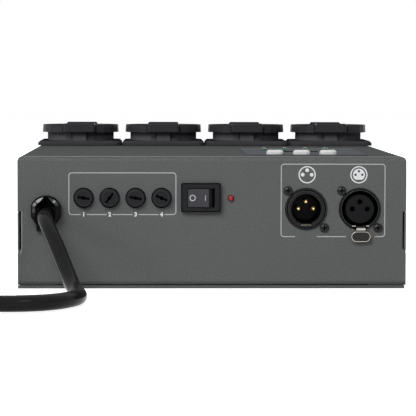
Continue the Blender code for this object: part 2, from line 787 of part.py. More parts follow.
def base_plate():
    """The base tray: its floor, side flanges, corner tabs, lips, board posts and earth stud."""
    half = WIDTH / 2 - BASE_INSET
    tray = block(
        "base_plate",
        at(-half, BASE_INSET, 0),
        at(half, DEPTH - BASE_INSET, BASE_SHEET),
        "base_paint",
    )
    outside = WIDTH / 2 - SHEET - GAP
    front = SHEET + 2 * GAP
    back = DEPTH - SHEET - 2 * GAP
    for side, name in ((-1, "left"), (1, "right")):
        near, far = sorted((side * outside, side * (outside - BASE_SHEET)))
        flange = block(f"flange_{name}", at(near, front, 0), at(far, back, SIDE_FLANGE_HEIGHT))
        tab = block(
            f"tab_{name}",
            at(near, front, 0),
            at(far, front + CORNER_TAB_LENGTH, CORNER_TAB_HEIGHT),
        )
        fuse(tray, flange)
        fuse(tray, tab)
        inner = WIDTH / 2 - NOTCH_DEPTH + NOTCH_SLOT
        fuse(tray, notch_cheek(f"cheek_root_{name}", side, outside - BASE_SHEET, front))
        fuse(tray, notch_cheek(f"cheek_{name}", side, inner, 0.0))
    for name, start in (("front", front), ("back", back - BASE_SHEET)):
        lip = block(
            f"lip_{name}",
            at(-LIP_HALF_LENGTH, start, 0),
            at(LIP_HALF_LENGTH, start + BASE_SHEET, LIP_HEIGHT),
        )
        fuse(tray, lip)
    seat = BASE_SHEET / 2
    xs = (-RELAY_BOARD_HALF_WIDTH, RELAY_BOARD_HALF_WIDTH)
    shape = bmesh.new()
    for x, depth in board_corners(xs, RELAY_BOARD_DEPTHS):
        add_rod(shape, at(x, depth, seat), "Z", RELAY_BOARD_HEIGHT - seat, STANDOFF_RADIUS, HEX_SIDES)
    add_rod(shape, at(STUD_X, STUD_DEPTH, seat), "Z", STUD_HEIGHT, STUD_RADIUS, TINY_SIDES)
    fuse(tray, made_of("tray_posts", shape, None))
    shape = bmesh.new()
    place = at(STUD_X, STUD_DEPTH, BASE_SHEET + SHEET)
    add_rod(shape, place, "Z", STUD_NUT_THICKNESS, STUD_NUT_RADIUS, HEX_SIDES)
    fuse(tray, made_of("stud_nut", shape, None))
    shape = bmesh.new()
    for depth in SIDE_SCREW_DEPTHS:
        for x in (-outside - GAP, outside - BASE_SHEET - GAP):
            place = at(x, depth, SIDE_SCREW_HEIGHT)
            add_rod(shape, place, "X", BASE_SHEET + 2 * GAP, SCREW_RADIUS + GAP, TINY_SIDES)
    for row in VENT_ROWS:
        for i in range(VENT_COUNT):
            x = (i - (VENT_COUNT - 1) / 2) * VENT_PITCH
            add_box(
                shape,
                at(x - VENT_WIDTH / 2, row - VENT_LENGTH / 2, -GAP),
                at(x + VENT_WIDTH / 2, row + VENT_LENGTH / 2, BASE_SHEET + GAP),
            )
    cut(tray, made_of("tray_holes", shape, None))


def notch_cheek(name, side, inner, start):
    """The part of a corner tab that fills the housing's notch, flush with its walls."""
    near, far = sorted((side * inner, side * WIDTH / 2))
    shape = bmesh.new()
    verts = add_box(
        shape,
        at(near, start, NOTCH_BOTTOM + NOTCH_SLOT),
        at(far, NOTCH_LENGTH - NOTCH_SLOT, NOTCH_TOP - NOTCH_SLOT),
    )
    for vert in verts:
        if abs(vert.co.x - side * WIDTH / 2) < GAP and vert.co.z < NOTCH_TOP - NOTCH_DEPTH:
            vert.co.z -= NOTCH_DEPTH - NOTCH_SLOT
    return made_of(name, shape, None)


def cover_screws():
    """Countersunk screws through the housing's walls into the tray's flanges."""
    profile = (
        (0.0, 0.0),
        (SCREW_HEAD_RADIUS, 0.0),
        (SCREW_RADIUS, -SHEET),
        (SCREW_RADIUS, -SIDE_SCREW_LENGTH),
        (0.0, -SIDE_SCREW_LENGTH),
    )
    mesh = settled(turned("cover_screw", profile, "screw_black", (0, 0, 0), sides=TINY_SIDES))
    number = 0
    for side in (-1, 1):
        for depth in SIDE_SCREW_DEPTHS:
            number += 1
            screw = bpy.data.objects.new(f"cover_screw_{number}", mesh)
            screw.location = at(side * WIDTH / 2, depth, SIDE_SCREW_HEIGHT)
            screw.rotation_euler = (0.0, side * math.pi / 2, 0.0)
            PARTS.objects.link(screw)


# Mains outlets


def outlets():
    """The moulded outlets: flange, barrel, ring, lobes, recess, guides and pin bores."""
    floor = RING_TOP - RECESS_DEPTH
    profile = (
        (0.0, floor),
        (RECESS_RADIUS, floor),
        (RECESS_RADIUS, RING_TOP),
        (RING_RADIUS - RING_DRAFT, RING_TOP),
        (RING_RADIUS, BARREL_TOP),
        (BARREL_RADIUS, BARREL_TOP),
        (BARREL_RADIUS, GAP + FLANGE_THICKNESS / 2),
        (WELL_RADIUS, GAP + FLANGE_THICKNESS / 2),
        (WELL_RADIUS, floor - WELL_FLOOR),
        (CORE_RADIUS, floor - WELL_FLOOR),
        (CORE_RADIUS, -CORE_DEPTH),
        (0.0, -CORE_DEPTH),
    )
    body = turned("outlet_model", profile, "outlet_black", (0, 0, 0), sides=OUTLET_SIDES)
    half = FLANGE_SIDE / 2
    fuse(body, outlet_flange(half))
    for side, name in ((-1, "front"), (1, "back")):
        fuse(body, outlet_lobe(side, name))
        fuse(body, outlet_pad(side, name))
    for side, name in ((-1, "left"), (1, "right")):
        fuse(body, outlet_guide(side, name, floor))
        fuse(body, outlet_barb(side, name))
    cut(body, outlet_bores(floor))
    cut(body, outlet_grooves())
    mesh = settled(body)
    places = [at(x, OUTLET_DEPTH, HEIGHT) for x in outlet_xs()]
    copies("outlet", mesh, places)


def outlet_flange(half):
    """The square flange with rounded corners, a ring that the barrel fills."""
    shape = bmesh.new()
    verts = add_box(shape, (-half, -half, GAP), (half, half, GAP + FLANGE_THICKNESS))
    round_edges(shape, verts, "Z", FLANGE_CORNER, FLANGE_CORNER_STEPS)
    chamfer_top(shape, GAP + FLANGE_THICKNESS, FLANGE_CHAMFER)
    plate = made_of("flange", shape, None)
    shape = bmesh.new()
    through = (RECESS_RADIUS + BARREL_RADIUS) / 2
    add_rod(shape, (0, 0, -GAP), "Z", FLANGE_THICKNESS + 3 * GAP, through, OUTLET_SIDES)
    cut(plate, made_of("flange_bore", shape, None))
    return bare_tool(plate, "flange")


def chamfer_top(shape, height, width, steps=1):
    """Rounds the rim of a shape's top face."""
    rim = [e for e in shape.edges if all(abs(v.co.z - height) < FILM_GAP / 2 for v in e.verts)]
    bmesh.ops.bevel(
        shape,
        geom=rim,
        offset=width,
        offset_type="OFFSET",
        segments=steps,
        profile=0.5,
        affect="EDGES",
    )


def bare_tool(thing, name):
    """The same tool with its own cuts made, so that another object can use it."""
    mesh = settled(thing)
    return link(bpy.data.objects.new(name, mesh), None)


def outlet_lobe(side, name):
    """A block on the ring that holds an earth clip, with rounded upright edges."""
    shape = bmesh.new()
    near = side * (RECESS_RADIUS + RING_RADIUS) / 2
    far = side * LOBE_REACH
    verts = add_box(
        shape,
        (-LOBE_WIDTH / 2, min(near, far), LOBE_BOTTOM),
        (LOBE_WIDTH / 2, max(near, far), LOBE_TOP),
    )
    outer = [vert for vert in verts if abs(vert.co.y - far) < GAP]
    edges = [e for e in shape.edges if e.verts[0] in outer and e.verts[1] in outer]
    upright = [e for e in edges if abs(e.verts[0].co.z - e.verts[1].co.z) > GAP]
    bmesh.ops.bevel(
        shape,
        geom=upright,
        offset=LOBE_CORNER,
        offset_type="OFFSET",
        segments=CORNER_STEPS,
        profile=0.5,
        affect="EDGES",
    )
    chamfer_top(shape, LOBE_TOP, LOBE_CHAMFER)
    return made_of(f"lobe_{name}", shape, None)


def outlet_pad(side, name):
    """The flat pad between two grooves on the barrel, below the lobe."""
    near = side * (RECESS_RADIUS + BARREL_RADIUS) / 2
    far = side * PAD_REACH
    return block(
        f"pad_{name}",
        (-PAD_WIDTH / 2, min(near, far), FLANGE_THICKNESS / 2),
        (PAD_WIDTH / 2, max(near, far), BARREL_TOP + GAP),
    )


def outlet_grooves():
    """Upright grooves on both sides of each pad and of each lobe."""
    shape = bmesh.new()
    top = FLANGE_THICKNESS + 2 * GAP
    grooves = (
        (PAD_WIDTH / 2, GROOVE_FLOOR, PAD_REACH, top, BARREL_TOP - GAP),
        (LOBE_WIDTH / 2, LOBE_GROOVE_FLOOR, LOBE_REACH, BARREL_TOP - GAP, RING_TOP + GAP),
    )
    for inner, floor, reach, low, high in grooves:
        for side in (-1, 1):
            for across in (-1, 1):
                xs = sorted((side * inner, side * (inner + GROOVE_WIDTH)))
                ys = sorted((across * floor, across * (reach + GAP)))
                add_box(shape, (xs[0], ys[0], low), (xs[1], ys[1], high))
    return made_of("outlet_grooves", shape, None)


def outlet_guide(side, name, floor):
    """The ridge inside the recess that a plug's side notch slides over."""
    near = side * (RECESS_RADIUS - GUIDE_REACH)
    far = side * (RECESS_RADIUS + BARREL_RADIUS) / 2
    return block(
        f"guide_{name}",
        (min(near, far), -GUIDE_WIDTH / 2, floor - GAP),
        (max(near, far), GUIDE_WIDTH / 2, RING_TOP - GUIDE_TOP_DROP),
    )


def outlet_barb(side, name):
    """A barb that holds the outlet under the housing's top."""
    near = side * (WELL_RADIUS - BARB_REACH)
    far = side * (WELL_RADIUS + BARB_REACH)
    top = -SHEET - GAP
    return block(
        f"barb_{name}",
        (min(near, far), -BARB_WIDTH / 2, top - BARB_HEIGHT),
        (max(near, far), BARB_WIDTH / 2, top),
    )


def outlet_bores(floor):
    """Pin bores and the slots that the earth straps stand in."""
    shape = bmesh.new()
    for side in (-1, 1):
        x = side * PIN_SPACING / 2
        add_rod(shape, (x, 0, floor - PIN_HOLE_LIP), "Z", PIN_HOLE_LIP + GAP, PIN_HOLE_RADIUS, TINY_SIDES)
        bottom = -CORE_DEPTH - GAP
        length = floor - PIN_HOLE_LIP - bottom
        add_rod(shape, (x, 0, bottom), "Z", length, SLEEVE_RADIUS + GAP, TINY_SIDES)
        near = side * (RECESS_RADIUS - CLIP_THICKNESS)
        far = side * CLIP_SLOT_REACH
        add_box(
            shape,
            (-CLIP_WIDTH / 2 - GAP, min(near, far), floor - WELL_FLOOR - GAP),
            (CLIP_WIDTH / 2 + GAP, max(near, far), RING_TOP - SHEET),
        )
    return made_of("outlet_bores", shape, None)


def sleeve(name, look, place=(0, 0, 0)):
    """A pin sleeve with a solid tail below the outlet."""
    top = RING_TOP - RECESS_DEPTH - PIN_HOLE_LIP - GAP
    bottom = -CORE_DEPTH - SLEEVE_TAIL
    profile = (
        (0.0, bottom + SLEEVE_TAIL),
        (SLEEVE_BORE, bottom + SLEEVE_TAIL),
        (SLEEVE_BORE, top),
        (SLEEVE_RADIUS, top),
        (SLEEVE_RADIUS, bottom),
        (0.0, bottom),
    )
    return turned(name, profile, look, place, sides=TINY_SIDES)


def sleeve_lead(name, aside):
    """The wire from a sleeve's tail down to the relay board."""
    tail = -CORE_DEPTH - SLEEVE_TAIL
    board = RELAY_BOARD_HEIGHT + 3 * GAP + BOARD_THICKNESS - HEIGHT
    reach = RELAY_BOARD_DEPTHS[1] - BOARD_EDGE - OUTLET_DEPTH
    route = (
        (aside, 0.0, tail + SLEEVE_TAIL / 2),
        (aside, 0.0, tail - WIRE_STEP),
        (aside, reach * 0.2, tail - 2 * WIRE_STEP),
        (aside, reach * 0.8, board + 2.4 * WIRE_STEP),
        (aside, reach, board + WIRE_STEP),
        (aside, reach, board),
    )
    return wire(name, route)


def live_leads():
    """Each outlet's switched contact: its sleeve and the wire to its relay."""
    aside = -PIN_SPACING / 2
    model = sleeve("live_model", "brass", (aside, 0, 0))
    fuse(model, sleeve_lead("live_wire", aside))
    mesh = settled(model)
    shift = [at(x + aside, OUTLET_DEPTH, HEIGHT) for x in outlet_xs()]
    copies("live_lead", mesh, shift)


def neutral_bus():
    """The bar that joins the four neutral sleeves, and its wire to the relay board."""
    aside = PIN_SPACING / 2
    tail = -CORE_DEPTH - SLEEVE_TAIL
    xs = [x + aside for x in outlet_xs()]
    shape = bmesh.new()
    add_box(
        shape,
        (xs[0] - BUS_ARM / 2, BUS_OFFSET, tail - BUS_HEIGHT),
        (xs[-1] + BUS_ARM / 2, BUS_OFFSET + BUS_THICKNESS, tail),
    )
    bar = made_of("neutral_bus", shape, "brass", at(0, OUTLET_DEPTH, HEIGHT))
    place = at(0, OUTLET_DEPTH, HEIGHT)
    for i, x in enumerate(xs):
        arm = bmesh.new()
        add_box(
            arm,
            (x - BUS_ARM / 2, -BUS_ARM / 2, tail - BUS_HEIGHT / 2),
            (x + BUS_ARM / 2, BUS_OFFSET + BUS_THICKNESS / 2, tail + SLEEVE_TAIL / 2),
        )
        fuse(bar, made_of(f"bus_arm_{i + 1}", arm, None, place))
        fuse(bar, sleeve(f"bus_sleeve_{i + 1}", None, place + Vector((x, 0, 0))))
    lead = sleeve_lead("neutral_wire", 0.0)
    lead.location = place + Vector((xs[-1], 0, 0))
    fuse(bar, lead)


def ribbon(path, thickness):
    """The outline of a strip of even thickness along a path."""
    path = [Vector(point) for point in path]
    runs = [(end - start).normalized() for start, end in zip(path, path[1:])]
    left, right = [], []
    for i, point in enumerate(path):
        before = runs[max(i - 1, 0)]
        after = runs[min(i, len(runs) - 1)]
        run = (before + after).normalized()
        aside = Vector((-run.y, run.x)) * thickness / 2 / run.dot(after)
        left.append(tuple(point + aside))
        right.append(tuple(point - aside))
    return left + right[::-1]


def earth_strap_path():
    """One strap's path across an outlet: a sprung clip, down, under the core, up, the other clip."""
    floor = RING_TOP - RECESS_DEPTH
    seat = (CLIP_SLOT_REACH + RECESS_RADIUS) / 2
    under = -CORE_DEPTH - GAP - CLIP_THICKNESS / 2
    clip = (
        (seat, RING_TOP - SHEET - 2 * GAP),
        (CLIP_BULGE + CLIP_THICKNESS, floor + RECESS_DEPTH * 0.62),
        (CLIP_BULGE, floor + RECESS_DEPTH * 0.5),
        (seat, floor + RECESS_DEPTH * 0.12),
        (seat, under + 2 * CLIP_THICKNESS),
        (seat - 2 * CLIP_THICKNESS, under),
    )
    return [(-y, z) for y, z in clip] + list(clip[::-1])


def earth_bus():
    """The earth straps of all the outlets, the bar that joins them and the wire to the stud."""
    xs = outlet_xs()
    place = at(0, OUTLET_DEPTH, HEIGHT)
    under = -CORE_DEPTH - GAP - CLIP_THICKNESS
    half = CLIP_WIDTH / 2
    shape = bmesh.new()
    add_box(
        shape,
        (xs[0] - half, -EARTH_BAR_OFFSET - BUS_THICKNESS, under - CLIP_THICKNESS),
        (xs[-1] + half, -EARTH_BAR_OFFSET, under + CLIP_THICKNESS / 2),
    )
    bar = made_of("earth_bus", shape, "nickel", place)
    across = (math.pi / 2, 0.0, math.pi / 2)
    for i, x in enumerate(xs):
        path = ribbon(earth_strap_path(), CLIP_THICKNESS)
        strap = outline(f"strap_{i + 1}", path, half, None, place + Vector((x, 0, 0)), across)
        fuse(bar, strap)
    first = xs[0]
    back = EARTH_BAR_OFFSET + BUS_THICKNESS
    stud_x = STUD_X
    stud_y = STUD_DEPTH - OUTLET_DEPTH
    stud_top = BASE_SHEET / 2 + STUD_HEIGHT + GAP - HEIGHT
    route = (
        (first, back, under + CLIP_THICKNESS / 2),
        (first, back, under - WIRE_STEP),
        (first * 0.6 + stud_x * 0.4, back, under - 2 * WIRE_STEP),
        (stud_x, stud_y, stud_top + 1.5 * WIRE_STEP),
        (stud_x, stud_y, stud_top),
    )
    fuse(bar, wire("earth_wire", route, place))


# Fuse holders


def fuse_places(depth=0.0):
    return [at(x, depth, FUSE_HEIGHT) for x in FUSE_XS]


def fuse_holders():
    """Turned holders: a blind bore, a rim, a barb behind the panel, a lug and its wire."""
    bore_end = -(FUSE_BODY_LENGTH - FUSE_WALL)
    rim_back = GAP
    barb = -SHEET - GAP
    profile = (
        (0.0, bore_end),
        (FUSE_BORE, bore_end),
        (FUSE_BORE, FUSE_RIM_PROUD),
        (FUSE_RIM_RADIUS, FUSE_RIM_PROUD),
        (FUSE_RIM_RADIUS, rim_back),
        (FUSE_BODY_RADIUS, rim_back),
        (FUSE_BODY_RADIUS, barb),
        (FUSE_BARB_RADIUS, barb),
        (FUSE_BODY_RADIUS, barb - FUSE_BARB_LENGTH),
        (FUSE_BODY_RADIUS, -FUSE_BODY_LENGTH),
        (FUSE_LUG_RADIUS, -FUSE_BODY_LENGTH),
        (FUSE_LUG_RADIUS, -FUSE_BODY_LENGTH - FUSE_LUG_LENGTH),
        (0.0, -FUSE_BODY_LENGTH - FUSE_LUG_LENGTH),
    )
    model = turned("holder", profile, "switch_black", (0, 0, 0), sides=ROUND_SIDES)
    lug = -FUSE_BODY_LENGTH - FUSE_LUG_LENGTH
    drop = block_top() + GAP - FUSE_HEIGHT
    route = (
        (0.0, 0.0, lug + FUSE_LUG_LENGTH / 2),
        (0.0, 0.0, lug - WIRE_STEP),
        (0.0, drop * 0.15, (lug - BLOCK_DEPTH) / 2 - WIRE_STEP / 2),
        (0.0, drop * 0.6, -BLOCK_DEPTH),
        (0.0, drop, -BLOCK_DEPTH),
    )
    fuse(model, wire("fuse_wire", route))
    copies("fuse_holder", settled(model), fuse_places(), FACING_FRONT)


def fuse_knobs():
    """Slotted caps that turn to unlock the fuse carriers."""
    back = KNOB_PROUD - KNOB_LENGTH
    profile = (
        (0.0, KNOB_PROUD),
        (KNOB_RADIUS - 2 * GAP, KNOB_PROUD),
        (KNOB_RADIUS, KNOB_PROUD - 2 * GAP),
        (KNOB_RADIUS, back),
        (0.0, back),
    )
    cap = turned("knob", profile, "switch_black", (0, 0, 0), sides=ROUND_SIDES)
    shape = bmesh.new()
    half = KNOB_SLOT_LENGTH / 2
    add_box(
        shape,
        (-half, -KNOB_SLOT_WIDTH / 2, KNOB_PROUD - KNOB_SLOT_DEPTH),
        (half, KNOB_SLOT_WIDTH / 2, KNOB_PROUD + GAP),
    )
    cut(cap, made_of("knob_slot", shape, None))
    shape = bmesh.new()
    add_rod(
        shape,
        (0, 0, KNOB_PROUD - 2 * KNOB_SLOT_DEPTH),
        "Z",
        2 * KNOB_SLOT_DEPTH + GAP,
        KNOB_EYE_RADIUS,
        TINY_SIDES,
    )
    cut(cap, made_of("knob_eye", shape, None))
    mesh = settled(cap)
    turns = [math.radians(-turn) for turn in FUSE_TURNS]
    for i, place in enumerate(fuse_places()):
        knob = bpy.data.objects.new(f"fuse_knob_{i + 1}", mesh)
        knob.matrix_world = (
            Matrix.Translation(place)
            @ Matrix.Rotation(turns[i], 4, "Y")
            @ Matrix.Rotation(math.pi / 2, 4, "X")
        )
        PARTS.objects.link(knob)


def fuse_links():
    """Glass cartridge fuses with end caps, each in the grip at the back of its knob."""
    front = KNOB_PROUD - KNOB_LENGTH - GAP
    grip_back = front - LINK_GRIP_LENGTH
    back = grip_back - LINK_LENGTH
    profile = (
        (0.0, front),
        (LINK_GRIP_RADIUS, front),
        (LINK_GRIP_RADIUS, grip_back),
        (LINK_RADIUS, grip_back),
        (LINK_RADIUS, grip_back - LINK_CAP_LENGTH),
        (LINK_GLASS_RADIUS, grip_back - LINK_CAP_LENGTH),
        (LINK_GLASS_RADIUS, back + LINK_CAP_LENGTH),
        (LINK_RADIUS, back + LINK_CAP_LENGTH),
        (LINK_RADIUS, back),
        (0.0, back),
    )
    mesh = settled(turned("link", profile, "fuse_glass", (0, 0, 0), sides=TINY_SIDES))
    copies("fuse_link", mesh, fuse_places(), FACING_FRONT)


# Rocker switch


def switch_body():
    """The switch's bezel, its body with the rocker's cavity, its blades and leads."""
    half_w, half_h = BEZEL_WIDTH / 2, BEZEL_HEIGHT / 2
    bezel = block(
        "switch_body",
        at(SWITCH_X - half_w, -BEZEL_PROUD, SWITCH_HEIGHT - half_h),
        at(SWITCH_X + half_w, -GAP, SWITCH_HEIGHT + half_h),
        "switch_black",
        ("Y", 2 * BEZEL_EDGE, 1),
    )
    bevel(bezel, BEZEL_EDGE, 1, 60.0)
    half_w, half_h = SWITCH_BODY_WIDTH / 2, SWITCH_BODY_HEIGHT / 2
    rear = block(
        "switch_rear",
        at(SWITCH_X - half_w, -BEZEL_PROUD / 2, SWITCH_HEIGHT - half_h),
        at(SWITCH_X + half_w, SWITCH_BODY_DEPTH, SWITCH_HEIGHT + half_h),
    )
    fuse(bezel, rear)
    half_w, half_h = CAVITY_WIDTH / 2, CAVITY_HEIGHT / 2
    shape = bmesh.new()
    add_box(
        shape,
        at(SWITCH_X - half_w, -BEZEL_PROUD - GAP, SWITCH_HEIGHT - half_h),
        at(SWITCH_X + half_w, CAVITY_DEPTH, SWITCH_HEIGHT + half_h),
    )
    cut(bezel, made_of("switch_cavity", shape, None))
    shape = bmesh.new()
    reach = CAVITY_HEIGHT / 2 + PIVOT_PIN + GAP
    start = at(SWITCH_X, ROCKER_PIVOT_DEPTH, SWITCH_HEIGHT - reach)
    add_rod(shape, start, "Z", 2 * reach, PIVOT_RADIUS + GAP, SMALL_SIDES)
    cut(bezel, made_of("pivot_holes", shape, None))
    fuse(bezel, switch_blades())
    for lead in switch_leads():
        fuse(bezel, lead)


def switch_rocker():
    """The rocker, its left end pressed in, with its pivot pins on the upright axis."""
    slant = math.tan(ROCKER_TILT)
    back_half = ROCKER_FACE_HALF + ROCKER_FACE_REACH * slant
    section = (
        (-ROCKER_HUB_HALF, ROCKER_BACK),
        (-back_half, 0.0),
        (-ROCKER_FACE_HALF, -ROCKER_FACE_REACH),
        (0.0, -ROCKER_CREASE_REACH),
        (ROCKER_FACE_HALF, -ROCKER_FACE_REACH),
        (back_half, 0.0),
        (ROCKER_HUB_HALF, ROCKER_BACK),
    )
    place = at(SWITCH_X, ROCKER_PIVOT_DEPTH, SWITCH_HEIGHT)
    facing = (0.0, 0.0, -ROCKER_TILT)
    rocker = outline(
        "switch_rocker", section, ROCKER_HEIGHT / 2, "switch_black", place, facing
    )
    shape = bmesh.new()
    reach = CAVITY_HEIGHT / 2 + PIVOT_PIN
    add_rod(shape, (0, 0, -reach), "Z", 2 * reach, PIVOT_RADIUS, SMALL_SIDES)
    pins = made_of("pivot_pins", shape, None, place, facing)
    fuse(rocker, pins)


def switch_blades():
    """Blade terminals behind the switch, sunk into its body."""
    shape = bmesh.new()
    half = BLADE_SIZE[2] / 2
    for x, z in terminal_places():
        add_box(
            shape,
            at(x - BLADE_SIZE[0] / 2, SWITCH_BODY_DEPTH - half, z - half),
            at(x + BLADE_SIZE[0] / 2, SWITCH_BODY_DEPTH + BLADE_SIZE[1], z + half),
        )
    return made_of("switch_blades", shape, None)


def switch_leads():
    """The two wires between the mains lead's inner end and the switch."""
    made = []
    start = RELIEF_BARREL_LENGTH + GAP
    rear = SWITCH_BODY_DEPTH + BLADE_SIZE[1]
    for i, side in enumerate((-1, 1)):
        blade = terminal_places()[(1 + side) // 2]
        level = CORD_EXIT_HEIGHT + side * 2 * WIRE_RADIUS
        route = (
            at(RELIEF_X, start, level),
            at(RELIEF_X, start + WIRE_STEP, level),
            at(RELIEF_X / 2 + FUSE_XS[0] / 2, start + 2 * WIRE_STEP, level - WIRE_STEP / 2),
            at(FUSE_XS[1], start + 2 * WIRE_STEP, level - WIRE_STEP),
            at(FUSE_XS[3], start + 2 * WIRE_STEP, level - WIRE_STEP),
            at(blade[0] - WIRE_STEP, rear + WIRE_STEP, (level + blade[1] - WIRE_STEP) / 2),
            at(blade[0], rear + WIRE_STEP / 2, blade[1]),
            at(blade[0], rear - WIRE_STEP / 2, blade[1]),
        )
        made.append(wire(f"switch_lead_{i + 1}", [tuple(point) for point in route]))
    return made


def terminal_places():
    """x and height of the four blades."""
    half_x, half_z = BLADE_SPACING[0] / 2, BLADE_SPACING[1] / 2
    return [
        (SWITCH_X + sx, SWITCH_HEIGHT + sz) for sx in (-half_x, half_x) for sz in (-half_z, half_z)
    ]


# Lamps


def lamp_profile(proud, length):
    """A domed lamp that stands proud of a face at height 0."""
    shoulder = proud - LAMP_DOME
    dome = []
    for i in range(4):
        angle = math.pi / 2 * (1 - i / 3)
        dome.append((LAMP_RADIUS * math.cos(angle), shoulder + LAMP_DOME * math.sin(angle)))
    dome[0] = (0.0, proud)
    return [*dome, (LAMP_RADIUS, proud - length), (0.0, proud - length)]


def lamps():
    """The red lamp on the connector panel and the green channel lamps on the top."""
    profile = lamp_profile(POWER_LAMP_PROUD, POWER_LAMP_PROUD + POWER_LAMP_LENGTH)
    place = at(POWER_LAMP_X, 0, POWER_LAMP_HEIGHT)
    turned("power_led", profile, "lamp_red", place, FACING_FRONT, SMALL_SIDES)
    board_top = CONTROL_BOARD_DROP + SHEET
    profile = lamp_profile(CHANNEL_LAMP_PROUD, CHANNEL_LAMP_PROUD + board_top - GAP)
    mesh = settled(turned("lamp", profile, "lamp_green", (0, 0, 0), sides=TINY_SIDES))
    copies("channel_led", mesh, [at(x, CHANNEL_LAMP_DEPTH, HEIGHT) for x in CHANNEL_LAMP_XS])


# Data connectors


def xlr_shell(name, x, bore, bore_depth):
    """A round shell with a square flange behind the panel."""
    profile = (
        (0.0, -bore_depth),
        (bore, -bore_depth),
        (bore, XLR_PROUD),
        (XLR_RADIUS - XLR_EDGE, XLR_PROUD),
        (XLR_RADIUS, XLR_PROUD - XLR_EDGE),
        (XLR_RADIUS, -XLR_LENGTH),
        (0.0, -XLR_LENGTH),
    )
    shell = turned(name, profile, "connector_black", at(x, 0, XLR_HEIGHT), FACING_FRONT, WIDE_SIDES)
    half = XLR_FLANGE_SIDE / 2
    start = SHEET + GAP
    shape = bmesh.new()
    verts = add_box(
        shape,
        at(x - half, start, XLR_HEIGHT - half),
        at(x + half, start + XLR_FLANGE_THICKNESS, XLR_HEIGHT + half),
    )
    round_edges(shape, verts, "Y", FLANGE_CORNER / 2, CORNER_STEPS)
    plate = made_of(f"{name}_flange", shape, None)
    shape = bmesh.new()
    through = (bore + XLR_RADIUS) / 2
    place = at(x, start - GAP, XLR_HEIGHT)
    add_rod(shape, place, "Y", XLR_FLANGE_THICKNESS + 2 * GAP, through, WIDE_SIDES)
    for aside, above in XLR_SCREW_OFFSETS:
        place = at(x + aside, start - GAP, XLR_HEIGHT + above)
        length = XLR_FLANGE_THICKNESS + 2 * GAP
        add_rod(shape, place, "Y", length, PAN_SHAFT_RADIUS + GAP, TINY_SIDES)
    cut(plate, made_of(f"{name}_flange_holes", shape, None))
    fuse(shell, bare_tool(plate, f"{name}_flange"))
    return shell


def xlr_in():
    """The male connector: shell, disc that carries the pins, three pins and the shield strip."""
    shell = xlr_shell("xlr_in_shell", XLR_IN_X, XLR_IN_BORE, XLR_IN_BORE_DEPTH)
    shape = bmesh.new()
    for aside, above in XLR_POLES:
        place = at(XLR_IN_X + aside, XLR_IN_BORE_DEPTH - GAP, XLR_HEIGHT + above)
        length = XLR_LENGTH - XLR_IN_BORE_DEPTH + 2 * GAP
        add_rod(shape, place, "Y", length, XLR_PIN_RADIUS + GAP, TINY_SIDES)
    cut(shell, made_of("xlr_in_tail_holes", shape, None))
    front = XLR_IN_BORE_DEPTH - GAP - XLR_DISC_THICKNESS
    shape = bmesh.new()
    radius = XLR_IN_BORE - XLR_STRIP_THICKNESS - 2 * GAP
    place = at(XLR_IN_X, front, XLR_HEIGHT)
    add_rod(shape, place, "Y", XLR_DISC_THICKNESS, radius, WIDE_SIDES)
    disc = made_of("xlr_in_insert", shape, "insert_black")
    shape = bmesh.new()
    for aside, above in XLR_POLES:
        place = at(XLR_IN_X + aside, front - GAP, XLR_HEIGHT + above)
        add_rod(shape, place, "Y", XLR_DISC_THICKNESS + 2 * GAP, XLR_PIN_RADIUS + GAP, TINY_SIDES)
    cut(disc, made_of("xlr_in_disc_holes", shape, None))
    tip = XLR_PIN_RADIUS / 2
    profile = (
        (0.0, 0.0),
        (tip, 0.0),
        (XLR_PIN_RADIUS, -tip),
        (XLR_PIN_RADIUS, -XLR_PIN_LENGTH - XLR_PIN_TAIL),
        (0.0, -XLR_PIN_LENGTH - XLR_PIN_TAIL),
    )
    mesh = settled(turned("xlr_pin", profile, "gold", (0, 0, 0), sides=TINY_SIDES))
    places = [
        at(XLR_IN_X + aside, front - XLR_PIN_LENGTH, XLR_HEIGHT + above) for aside, above in XLR_POLES
    ]
    copies("xlr_in_pin", mesh, places, FACING_FRONT)
    half = XLR_STRIP_WIDTH / 2
    strip = block(
        "shield_strip",
        at(XLR_IN_X - half, XLR_PROUD, XLR_HEIGHT - XLR_IN_BORE - XLR_STRIP_THICKNESS),
        at(XLR_IN_X + half, front - GAP, XLR_HEIGHT - XLR_IN_BORE + 2 * XLR_STRIP_THICKNESS),
    )
    fuse(shell, strip)


def xlr_out():
    """The female connector: shell, insert with three bores and the release latch."""
    shell = xlr_shell("xlr_out_shell", XLR_OUT_X, XLR_OUT_BORE, XLR_OUT_BORE_DEPTH)
    latch_x = XLR_OUT_X + LATCH_X_OFFSET
    half = LATCH_SLOT_WIDTH / 2
    slot = block(
        "latch_slot",
        at(latch_x - half, -XLR_PROUD - GAP, XLR_HEIGHT - XLR_RADIUS - GAP),
        at(latch_x + half, LATCH_PIVOT_DEPTH + 3 * GAP, XLR_HEIGHT - XLR_OUT_BORE + SHEET),
    )
    cut(shell, slot)
    start = XLR_INSERT_RECESS - XLR_PROUD
    shape = bmesh.new()
    place = at(XLR_OUT_X, start, XLR_HEIGHT)
    length = XLR_OUT_BORE_DEPTH - GAP - start
    add_rod(shape, place, "Y", length, XLR_INSERT_RADIUS, WIDE_SIDES)
    insert = made_of("xlr_out_insert", shape, "insert_black")
    shape = bmesh.new()
    for aside, above in XLR_POLES:
        place = at(XLR_OUT_X + aside, start - GAP, XLR_HEIGHT + above)
        add_rod(shape, place, "Y", XLR_HOLE_DEPTH, XLR_HOLE_RADIUS, SMALL_SIDES)
    cut(insert, made_of("xlr_out_bores", shape, None))
    xlr_latch(latch_x)


